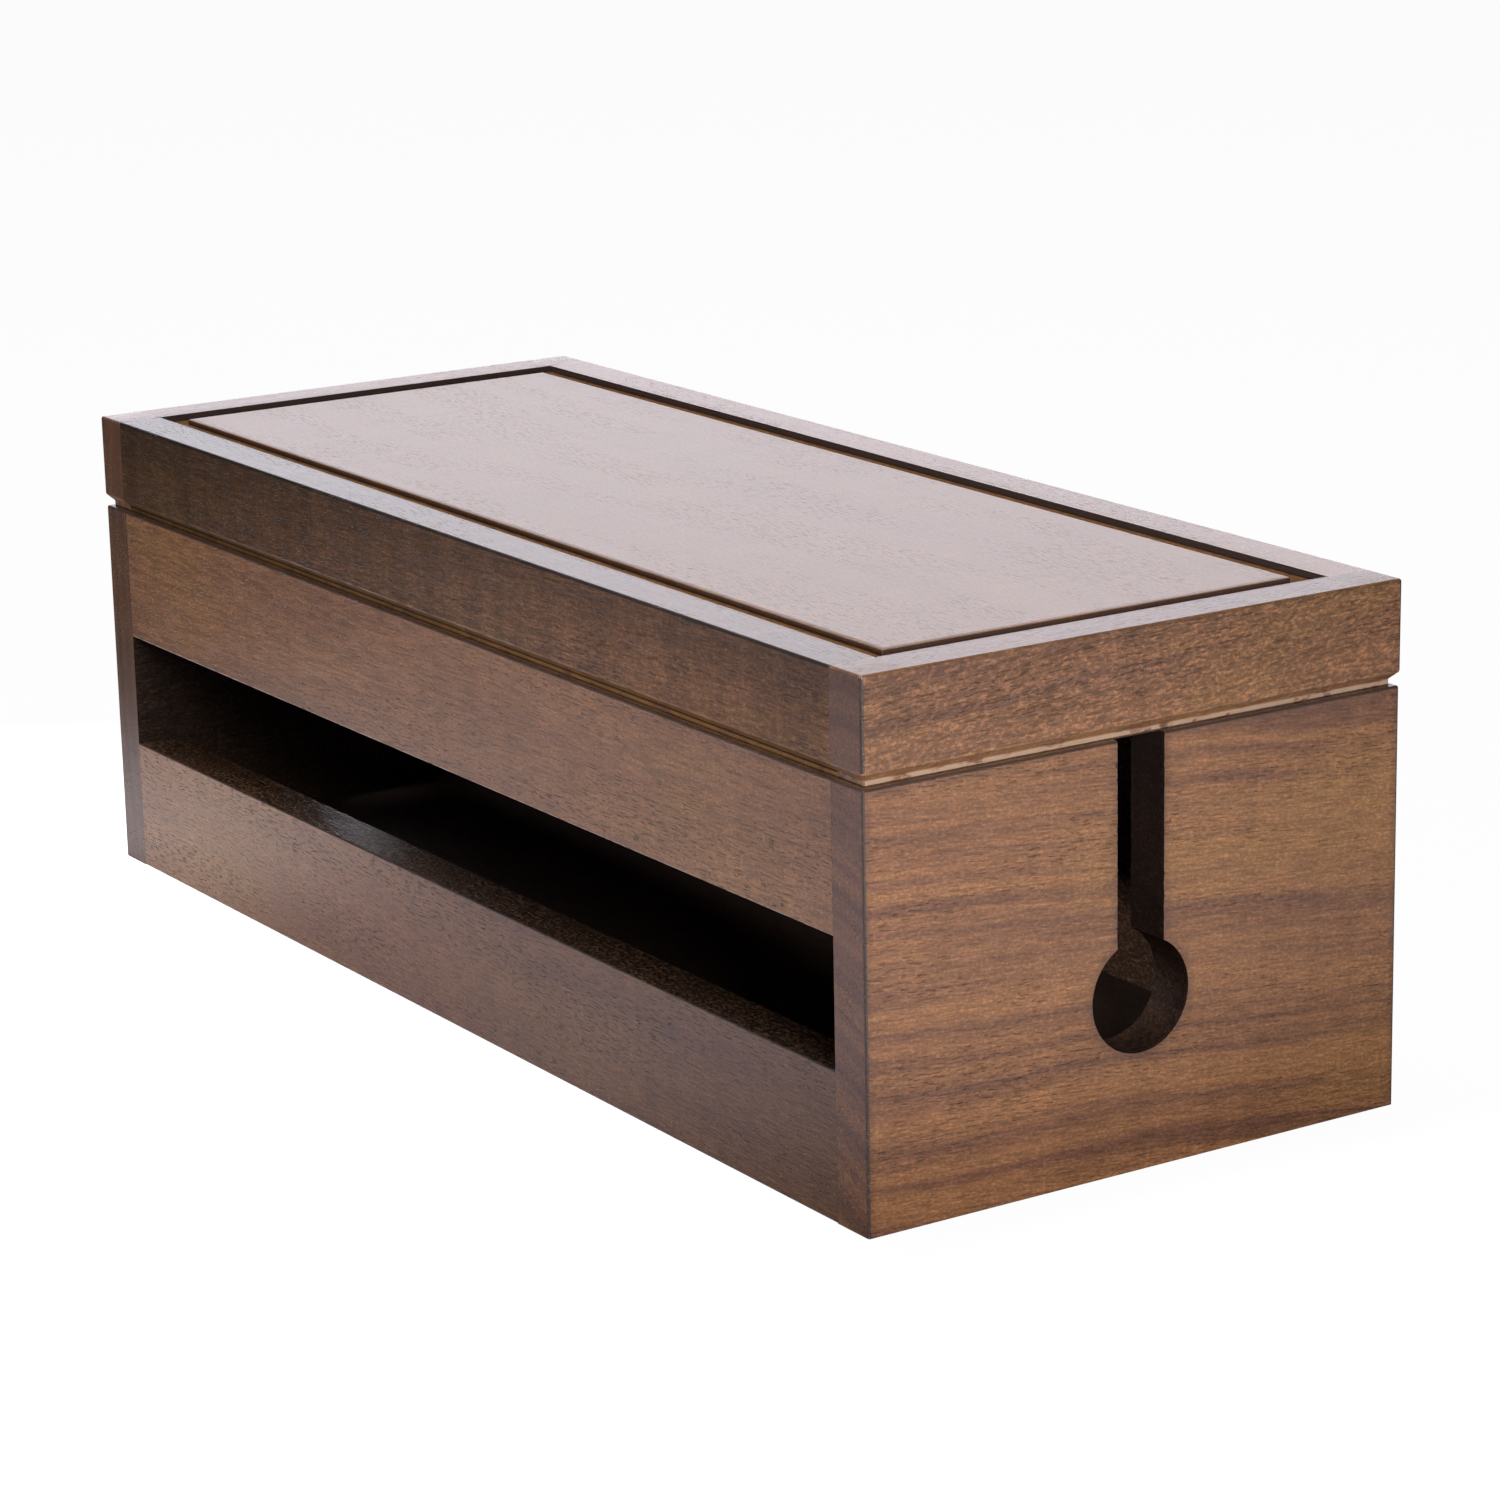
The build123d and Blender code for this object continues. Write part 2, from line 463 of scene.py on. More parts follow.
@dataclass(frozen=True)
class StainedWood:
    """Open-pored wood with a dark stain and a satin lacquer.

    Attributes:
        name: Name of the finish.
        slot: Material slot of the record that it belongs to; not used.
        early: Colour between the growth bands.
        late: Colour of the growth bands.
        gold: Colour of the patches where the stain took less.
        pore: Colour in the pores.
        wear_and_painted_light: Colour of a softened edge where the stain is rubbed, and of the
            highlights painted on some edges.
        darkened: Colour of a softened edge where the stain has gathered, and of the shade painted
            on the channel's walls, the panel's sides and the hollow above a lid rail's neck.
        end: Tone of end grain, which drinks more stain; its slight blue paints the bluish sheen on
            it.
        rings: Growth bands per metre.
        ring_waves: How far the bands wave across the fibres.
        gold_share: How strongly the golden patches show.
        pore_share: How strongly the pores show.
        stray_pores: Share of the pores that lie outside the clusters.
        fibre_tones: Tone of the deepest and of the palest fibres.
        specks_and_glints: Tone between the fine specks and in them; the pale specks are partly
            painted glints.
        relief: How deep the pores feel.
        fibre_relief: Height of the fibres, as a share of the pores' depth.
        plane_relief: Height of the waves that a plane leaves, likewise.
        lacquer: How much lacquer lies on the wood.
        sheen: Spread of the lacquer's shine.
        satin: Roughness of the wood under the lacquer, least and most.
        pore_satin: What the pores add to it.
        gloss: Strength of the wood's own shine under the lacquer, 0.5 for plain wood.
    """

    name: str
    slot: str
    early: Triple
    late: Triple
    gold: Triple
    pore: Triple = (0.06, 0.026, 0.015)
    wear_and_painted_light: Triple = (0.34, 0.19, 0.11)
    gathered: Triple = (0.05, 0.03, 0.026)
    end: Triple = (0.64, 0.62, 0.66)
    rings: float = 170.0
    ring_waves: float = 9.0 * MM
    gold_share: float = 0.6
    pore_share: float = 0.25
    stray_pores: float = 0.25
    fibre_tones: Span = (0.68, 1.32)
    specks_and_glints: Span = (0.9, 1.5)
    relief: float = 0.2 * MM
    fibre_relief: float = 0.35
    plane_relief: float = 0.5
    lacquer: float = 1.0
    sheen: float = 0.3
    satin: Span = (0.36, 0.46)
    pore_satin: float = 0.2
    gloss: float = 0.5

    def bands(self, recipe: Recipe, place: Socket, strength: float) -> Socket:
        """Growth bands: shells round the log's heart that wave and fade along the fibres.

        Args:
            recipe: The node tree that is being filled.
            place: The place in the log.
            strength: How strongly the bands show.

        Returns:
            How strongly a band shows at the place.
        """
        waves = recipe.noise_node(place, WAVES).outputs["Color"]
        across = (0.0, self.ring_waves, self.ring_waves)
        spoke = recipe.vector(
            "MULTIPLY", recipe.vector("MULTIPLY_ADD", waves, across, place), (0.0, 1.0, 1.0)
        )
        shells = recipe.product(recipe.measure("LENGTH", spoke), self.rings)
        bands = recipe.noise_node(place, BANDS, shells).outputs[0]
        return recipe.window(bands, BANDS.shows, (0.0, strength))

    def stained(
        self, recipe: Recipe, place: Socket, bands: Socket, fibres: Socket, pores: Socket
    ) -> Socket:
        """The colour of fresh stain on the wood.

        Args:
            recipe: The node tree that is being filled.
            place: The place in the log.
            bands: How strongly the growth bands show.
            fibres: Noise of the fibres.
            pores: How strongly the pores show.

        Returns:
            The colour.
        """
        colour = recipe.blend(bands, self.early, self.late)
        patches = recipe.shown(place, GOLDEN_PATCHES)
        colour = recipe.blend(recipe.product(patches, self.gold_share), colour, self.gold)
        colour = recipe.toned(colour, recipe.window(fibres, FIBRES.shows, self.fibre_tones))
        colour = recipe.toned(colour, recipe.shown(place, SPECKS_AND_GLINTS, self.specks_and_glints))
        colour = recipe.blend(recipe.product(pores, self.pore_share), colour, self.pore)
        drunk = recipe.blend(1.0, colour, self.end, "MULTIPLY")
        return recipe.blend(recipe.attribute("end_grain"), colour, drunk)

    def aged(self, recipe: Recipe, place: Socket, colour: Socket) -> Socket:
        """Rub the stain off in streaks, or deepen it, by what each face notes of its wear and of
        the light and shade painted on it.

        Args:
            recipe: The node tree that is being filled.
            place: The place in the log.
            colour: The colour of the fresh stain.

        Returns:
            The aged colour.
        """
        wear = recipe.product(recipe.attribute("wear_and_painted_light"), recipe.shown(place, RUBBED_STREAKS))
        colour = recipe.blend(wear, colour, self.wear_and_painted_light)
        # Below 0 the colour deepens: gathered stain, and painted shade in the channel and in the
        # hollow above a lid rail's neck.
        dark = recipe.window(recipe.attribute("wear_and_painted_light"), (0.0, Wear.SOAKED_AND_SHADED))
        return recipe.blend(dark, colour, self.gathered)

    def material(self, board: str, cut: Cut) -> bpy.types.Material:
        """Make the finish for one board.

        Args:
            board: Name of the board.
            cut: Where the board was cut from its log.

        Returns:
            The material.
        """
        material = bpy.data.materials.new(f"{self.name} on {board}")
        recipe = Recipe.of(material)
        box_place = recipe.place()
        mapping = {"Vector": box_place, "Location": cut.log, "Rotation": cut.turn}
        place = recipe.node("ShaderNodeMapping", mapping).outputs[0]
        fibres = recipe.noise(place, FIBRES)
        clusters = recipe.sum(recipe.shown(place, PORE_CLUSTERS), self.stray_pores)
        pores = recipe.product(recipe.shown(place, PORES), clusters)

        bands = self.bands(recipe, place, cut.figure)
        colour = self.stained(recipe, place, bands, fibres, pores)
        colour = self.aged(recipe, place, colour)
        colour = cut.tinted(recipe, box_place, place, colour)
        if cut.outline:
            colour = recipe.blend(cut.outline.gathered(recipe, box_place), colour, self.gathered)

        height = recipe.sum(recipe.product(pores, -1.0), fibres, self.fibre_relief)
        height = recipe.sum(height, recipe.noise(place, PLANED_WAVES), self.plane_relief)
        relief = {"Height": height, "Strength": 0.8, "Distance": self.relief}
        normal = recipe.node("ShaderNodeBump", relief).outputs[0]
        satin = recipe.window(fibres, ROUGH_FIBRES, self.satin)
        shader = recipe.node(
            "ShaderNodeBsdfPrincipled",
            {
                "Base Color": colour,
                "Roughness": recipe.sum(satin, pores, self.pore_satin),
                "Normal": normal,
                "IOR": 1.5,
                "Specular IOR Level": self.gloss,
                "Coat Weight": self.lacquer,
                "Coat Roughness": self.sheen,
                "Coat IOR": 1.5,
                "Coat Normal": normal,
            },
        )
        recipe.node("ShaderNodeOutputMaterial", {"Surface": shader.outputs[0]})
        return material


@dataclass(frozen=True)
class PlainBeech:
    """Bare beech of the dowels, with short fibres and small flecks.

    Attributes:
        name: Name of the finish.
        pale: Colour between the flecks.
        fleck: Colour of the flecks.
        fibre_share: How strongly the fibres show.
        satin: Roughness, least and most.
        relief: How deep the fibres feel.
    """

    name: str = "plain beech"
    pale: Triple = (0.62, 0.47, 0.31)
    fleck: Triple = (0.42, 0.28, 0.16)
    fibre_share: float = 0.35
    satin: Span = (0.6, 0.75)
    relief: float = 0.1 * MM

    def material(self) -> bpy.types.Material:
        """Make the finish, which all dowels share."""
        material = bpy.data.materials.new(self.name)
        recipe = Recipe.of(material)
        place = recipe.place()
        fibres = recipe.noise(place, BEECH_FIBRES)
        colour = recipe.blend(recipe.shown(place, BEECH_FLECKS), self.pale, self.fleck)
        streaks = recipe.window(fibres, BEECH_FIBRES.shows, (0.0, self.fibre_share))
        colour = recipe.blend(streaks, colour, self.fleck)
        relief = {"Height": fibres, "Strength": 0.3, "Distance": self.relief}
        shader = recipe.node(
            "ShaderNodeBsdfPrincipled",
            {
                "Base Color": colour,
                "Roughness": recipe.window(fibres, ROUGH_FIBRES, self.satin),
                "Normal": recipe.node("ShaderNodeBump", relief).outputs[0],
                "IOR": 1.45,
            },
        )
        recipe.node("ShaderNodeOutputMaterial", {"Surface": shader.outputs[0]})
        return material


WALNUT = StainedWood(
    "walnut stain", "body_wood", (0.3, 0.133, 0.056), (0.165, 0.071, 0.04), (0.32, 0.152, 0.052)
)
# Its pale edge colour is the painted highlight on the rails' outer bottom edges.
RAIL_WALNUT = replace(
    WALNUT,
    name="open-pored walnut stain",
    early=(0.295, 0.133, 0.061),
    wear_and_painted_light=(0.6, 0.43, 0.34),
    relief=0.45 * MM,
)
# Dark matt stain for the body's inner faces and openings and for the lid's channel walls and neck
# bottom: a matt finish made darker as painted shade.
MATT_SHADE_WALNUT = StainedWood(
    "matt walnut stain with painted shade",
    "body_wood",
    (0.065, 0.032, 0.019),
    (0.04, 0.021, 0.014),
    (0.07, 0.036, 0.019),
    pore=(0.012, 0.008, 0.005),
    wear_and_painted_light=(0.1, 0.055, 0.03),
    relief=0.35 * MM,
    lacquer=0.0,
    satin=(0.45, 0.6),
    gloss=0.15,
    specks_and_glints=(0.75, 2.6),
)
# Darker still on the end boards' keyhole walls and inner faces: sawn end grain that drinks stain,
# and painted shade.
SAWN_SHADE_WALNUT = replace(
    MATT_SHADE_WALNUT,
    name="sawn walnut stain with painted shade",
    early=(0.048, 0.025, 0.016),
    late=(0.03, 0.017, 0.012),
    gold=(0.052, 0.028, 0.016),
    specks_and_glints=(0.8, 2.0),
)
# Painted shade on the lower rail's top, which lies under the upper rail, with sparse bright specks
# as painted glints.
SHADED_SILL_WALNUT = replace(
    MATT_SHADE_WALNUT,
    name="dusty walnut stain",
    early=(0.026, 0.013, 0.007),
    late=(0.018, 0.009, 0.005),
    gold=(0.034, 0.016, 0.007),
    relief=0.5 * MM,
    lacquer=0.4,
    sheen=0.2,
    specks_and_glints=(0.4, 10.0),
)
LID_WALNUT = StainedWood(
    "walnut stain",
    "lid_wood",
    (0.28, 0.125, 0.056),
    (0.165, 0.072, 0.04),
    (0.3, 0.143, 0.052),
    wear_and_painted_light=(0.58, 0.3, 0.14),
    relief=0.12 * MM,
    sheen=0.25,
)
LID_END_WALNUT = replace(
    LID_WALNUT, name="open-pored walnut stain", relief=0.28 * MM, specks_and_glints=(0.82, 1.85)
)
LID_FACE_WALNUT = replace(
    LID_WALNUT,
    name="open-pored walnut stain",
    lacquer=0.8,
    satin=(0.5, 0.62),
    gloss=0.15,
    relief=0.8 * MM,
    specks_and_glints=(0.88, 1.5),
)
END_FOOT_WALNUT = replace(LID_WALNUT, name="rubbed walnut stain", wear_and_painted_light=(0.53, 0.345, 0.235))
RAIL_FOOT_WALNUT = replace(END_FOOT_WALNUT, wear_and_painted_light=(0.36, 0.175, 0.05), lacquer=0.3, gloss=0.1)
PANEL_WALNUT = StainedWood(
    "walnut stain",
    "panel_wood",
    (0.24, 0.106, 0.05),
    (0.18, 0.08, 0.042),
    (0.25, 0.117, 0.048),
    relief=0.1 * MM,
    sheen=0.28,
)
# Matt and darker in the panel's channel: a matt finish, and painted shade in the recess.
CHANNEL_WALNUT = replace(
    PANEL_WALNUT,
    name="matt walnut stain with painted shade",
    early=(0.2, 0.09, 0.032),
    late=(0.14, 0.063, 0.026),
    gold=(0.24, 0.11, 0.036),
    lacquer=0.0,
    satin=(0.6, 0.7),
    gloss=0.1,
)
# Dark stain on the floor panel, made darker still as painted shade inside the box.
FLOOR_WALNUT = StainedWood(
    "dark walnut stain with painted shade",
    "floor_wood",
    (0.055, 0.028, 0.017),
    (0.036, 0.018, 0.012),
    (0.06, 0.03, 0.017),
    pore=(0.02, 0.01, 0.007),
    wear_and_painted_light=(0.07, 0.038, 0.023),
    lacquer=0.0,
    satin=(0.72, 0.85),
)
BATTEN_WALNUT = StainedWood(
    "walnut stain", "batten_wood", (0.2, 0.092, 0.046), (0.12, 0.054, 0.032), (0.22, 0.1, 0.045)
)


# --- Work on the bench ------------------------------------------------------------------------


class Rounding(IntEnum):
    """How many steps a rounded edge has."""

    BEVEL = 1
    COARSE = 2
    PLAIN = 3
    FINE = 4
    FINEST = 5


class Wear(float, Enum):
    """Shares of the stain that are rubbed away.

    Below 0 the stain has gathered instead, and above 1 fewer stained streaks are left. Some shares
    paint shade or a highlight instead of wear, as noted at each.
    """

    # The keyhole's rim, where the stain soaked in, and also painted shade on the channel's walls
    # and in the hollow above a lid rail's neck.
    SOAKED_AND_SHADED = -1.0
    GATHERED = -0.8
    # Painted shade on the panel's sides in the channel.
    CHANNEL_SHADE = -0.7
    TINGED = -0.25
    GRAZED = 0.3
    FADED = 0.4
    HANDLED = 0.5
    RUBBED = 0.8
    # Painted highlight on edges and hollows that catch the light.
    PAINTED_HIGHLIGHT = 1.5
    BARE = 2.5
    STRIPPED = 3.5


@dataclass(frozen=True)
class Level:
    """A rectangle at a height, one step of a stacked solid."""

    x: Span
    y: Span
    z: float

    @property
    def corners(self) -> list[Vector]:
        """The four corners, one after another."""
        (left, right), (front, back) = self.x, self.y
        places = ((left, front), (right, front), (right, back), (left, back))
        return [Vector((x, y, self.z)) for x, y in places]


class Workpiece:
    """One board on the bench: it is shaped, grooved, softened and then handed over."""

    def __init__(self, node: str, cut: Cut) -> None:
        """Lay an empty mesh on the bench.

        Args:
            node: The solid that the board stands for.
            cut: Where it was cut from its log.
        """
        self.node = node
        self.cut = cut
        self.mesh = bmesh.new()
        # These notes hold wear and gathered stain, and also painted highlights and painted shade.
        self.wear_and_painted_light = self.mesh.loops.layers.float.new("wear_and_painted_light")
        self.end_grain = self.mesh.loops.layers.float.new("end_grain")

    def raised(self, face: Facet, by: Vector) -> Facet:
        """Extrude a face.

        Args:
            face: The face to move out of the solid.
            by: How far and which way.

        Returns:
            The face at the far end.
        """
        region = [face, *face.edges, *face.verts]
        grown = bmesh.ops.extrude_face_region(self.mesh, geom=region)["geom"]
        corners = [item for item in grown if isinstance(item, bmesh.types.BMVert)]
        bmesh.ops.translate(self.mesh, vec=by, verts=corners)
        return next(item for item in grown if isinstance(item, Facet))

    def settle(self) -> None:
        """Merge what meets and turn all faces outwards."""
        bmesh.ops.remove_doubles(self.mesh, verts=self.mesh.verts[:], dist=NEAR / 10)
        bmesh.ops.recalc_face_normals(self.mesh, faces=self.mesh.faces[:])

    def stack(self, levels: Sequence[Level]) -> None:
        """Raise a solid through rectangles, each above or within the one before.

        Args:
            levels: The rectangles, from the lowest up.
        """
        top = self.mesh.faces.new([self.mesh.verts.new(place) for place in levels[0].corners])
        for below, level in zip(levels, levels[1:]):
            top = self.raised(top, Vector((0.0, 0.0, level.z - below.z)))
            for vert in top.verts:
                away = [(corner.xy - vert.co.xy).length for corner in below.corners]
                vert.co = level.corners[away.index(min(away))]
        self.settle()

    def moulding(self, outline: Sequence[Span], run: Span) -> None:
        """Run a moulding along X.

        Args:
            outline: Places (y, z) round the section.
            run: Where the moulding starts and ends.
        """
        section = [self.mesh.verts.new((run[0], y, z)) for y, z in outline]
        self.raised(self.mesh.faces.new(section), Vector((run[1] - run[0], 0.0, 0.0)))
        self.settle()

    def edges_at(
        self, x: float | None = None, y: float | None = None, z: float | None = None
    ) -> list[Edge]:
        """The edges that lie wholly at the given coordinates.

        Args:
            x: Where along the box, or None for anywhere.
            y: Where from front to back, likewise.
            z: Where in height, likewise.

        Returns:
            The edges.
        """
        wanted = [(axis, value) for axis, value in zip(Axis, (x, y, z)) if value is not None]
        return [
            edge
            for edge in self.mesh.edges
            if all(lies_at(edge, axis, value) for axis, value in wanted)
        ]

    @staticmethod
    def note(faces: Iterable[Facet], layer: bmesh.types.BMLayerItem, value: float) -> None:
        """Note a number on faces, which their finishes read."""
        for loop in (loop for face in faces for loop in face.loops):
            loop[layer] = value

    def soften(
        self, edges: Iterable[Edge], radius: float, steps: Rounding, wear: float = Wear.GATHERED
    ) -> None:
        """Round edges and note how far the stain is rubbed off them; on some edges the note paints
        a highlight or shade instead.

        Args:
            edges: The edges to round.
            radius: Radius of the rounding.
            steps: Number of steps across it.
            wear: Share of the stain that is rubbed away, or a share that paints a highlight or
                shade.
        """
        rounded = bmesh.ops.bevel(
            self.mesh,
            geom=list(dict.fromkeys(edges)),
            offset=radius,
            offset_type="OFFSET",
            affect="EDGES",
            segments=steps,
            profile=0.5,
            material=-1,
            clamp_overlap=True,
        )
        self.note(rounded["faces"], self.wear_and_painted_light, wear)

    def divide(self, faces: Iterable[Facet], place: Triple, across: Triple) -> list[Facet]:
        """Divide faces along a plane, and nothing else of the mesh.

        Args:
            faces: The faces to divide.
            place: A place on the plane.
            across: Direction square to the plane.

        Returns:
            The faces that were there and the new ones.
        """
        chosen = [item for face in faces for item in (face, *face.edges, *face.verts)]
        geometry = list(dict.fromkeys(chosen))
        parted = bmesh.ops.bisect_plane(
            self.mesh, geom=geometry, dist=NEAR / 10, plane_co=place, plane_no=across
        )
        return [item for item in parted["geom"] if isinstance(item, Facet)]

    def ease(
        self, axis: Axis, edge: float, fall: Span, level: float, run: Span, brow: float
    ) -> list[Edge]:
        """Let a flat top fall away gently towards one of its edges, as sanding leaves it.

        Args:
            axis: Axis of the box that is square to the edge, X or Y.
            edge: Where the edge lies along that axis.
            fall: How far the fall reaches in, with its sign, and its depth at the edge.
            level: Height of the flat top.
            run: Between which places along the edge the fall is full.
            brow: Share of the reach at which one more edge keeps the flat top's shine flat.

        Returns:
            The edges that now run along the lowered lip.
        """
        inwards, drop = fall
        across, along = Vector((0.0, 0.0, 0.0)), Vector((0.0, 0.0, 0.0))
        across[axis] = along[1 - axis] = 1.0
        cuts = [(across * (edge + inwards * share), across) for share in (1.0, brow)]
        cuts += [(along * end, along) for end in run]
        for place, normal in cuts:
            top = [face for face in self.mesh.faces if lies_at(face, Axis.Z, level)]
            self.divide(top, place, normal)
        for vert in self.mesh.verts:
            share = (vert.co[axis] - edge) / inwards
            eased = -NEAR < share * abs(inwards) and share < 1.0
            within = run[0] - NEAR < vert.co[1 - axis] < run[1] + NEAR
            if abs(vert.co.z - level) < NEAR and eased and within:
                vert.co.z -= drop * (1.0 - share)
        lip = [other for other in self.mesh.edges if lies_at(other, axis, edge)]
        return [e for e in lip if all(level - drop - NEAR < v.co.z < level + NEAR for v in e.verts)]

    def level_off(self, level: float) -> None:
        """Bring back what stands above a level."""
        for vert in self.mesh.verts:
            vert.co.z = min(vert.co.z, level)

    def true_up(self, level: float) -> None:
        """Bring what lies a hair off a level back onto it."""
        for vert in self.mesh.verts:
            if abs(vert.co.z - level) < HAIR:
                vert.co.z = level

    def groove(self, at_x: float, reach: Span, height: Span, depth: float) -> None:
        """Plough a stopped groove into an upright face.

        Args:
            at_x: Where the face lies along the box.
            reach: Where the groove starts and ends, from front to back.
            height: Its lower and upper side.
            depth: How far it goes in along X, with its sign.
        """
        faces = [face for face in self.mesh.faces if lies_at(face, Axis.X, at_x)]
        for z in height:
            faces = self.divide(faces, (at_x, 0.0, z), (0.0, 0.0, 1.0))
        for y in reach:
            faces = self.divide(faces, (at_x, y, 0.0), (0.0, 1.0, 0.0))
        middle = Vector((at_x, sum(reach) / 2, sum(height) / 2))
        mouth = min(faces, key=lambda face: (face.calc_center_median() - middle).length)
        self.raised(mouth, Vector((depth, 0.0, 0.0)))

    def rub(self, heights: Span, wear: float, outer: bool = True) -> None:
        """Note how far the stain is rubbed off the faces of one side, or the shade painted on them.

        Args:
            heights: Between which heights the faces lie.
            wear: Share of the stain that is rubbed away, or a share that paints shade.
            outer: Whether the outer side is meant, or the one that faces the box's middle.
        """
        self.mesh.normal_update()
        for face in self.mesh.faces:
            within = all(heights[0] - NEAR < vert.co.z < heights[1] + NEAR for vert in face.verts)
            outwards = face.normal.xy.dot(face.calc_center_median().xy) > 0.0
            level = abs(face.normal.z) > WHOLLY
            if within and outwards is outer and not level:
                self.note([face], self.wear_and_painted_light, wear)

    def finish(self, body: str, *woods: StainedWood) -> bpy.types.Object:
        """Hand the board over as a finished piece.

        Args:
            body: The part of the box that it moves with.
            *woods: Its finishes, in the order of their numbers on its faces.

        Returns:
            The piece.
        """
        self.mesh.normal_update()
        fibres = self.cut.grain.direction
        ends = [face for face in self.mesh.faces if abs(face.normal.dot(fibres)) > SQUARELY]
        self.note(ends, self.end_grain, 1.0)
        name = f"{self.node}_walnut"
        data = bpy.data.meshes.new(name)
        self.mesh.to_mesh(data)
        self.mesh.free()
        data.shade_smooth()
        data.set_sharp_from_angle(angle=CREASE)
        piece = placed(name, data)
        even = piece.modifiers.new("even light on flats", "WEIGHTED_NORMAL")
        even.weight = 100
        even.keep_sharp = True
        for wood in woods:
            data.materials.append(wood.material(self.node, self.cut))
        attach(piece, body)
        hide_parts(self.node)
        LOG.info("%s: %d faces", name, len(data.polygons))
        return piece


# --- The box ----------------------------------------------------------------------------------


@dataclass
class Joinery:
    """Sizes that the body and the lid share."""

    length: float
    depth: float
    board: float = 13 * MM
    groove: float = 5 * MM
    play: float = 0.5 * MM

    @property
    def half(self) -> float:
        """Half of the length."""
        return self.length / 2

    @property
    def half_depth(self) -> float:
        """Half of the depth."""
        return self.depth / 2

    @property
    def in_grooves(self) -> tuple[Span, Span]:
        """Reach of a panel whose edges lie in the grooves with some play, along X and Y."""
        tuck = self.groove - self.play - self.board
        return centred(self.half + tuck), centred(self.half_depth + tuck)


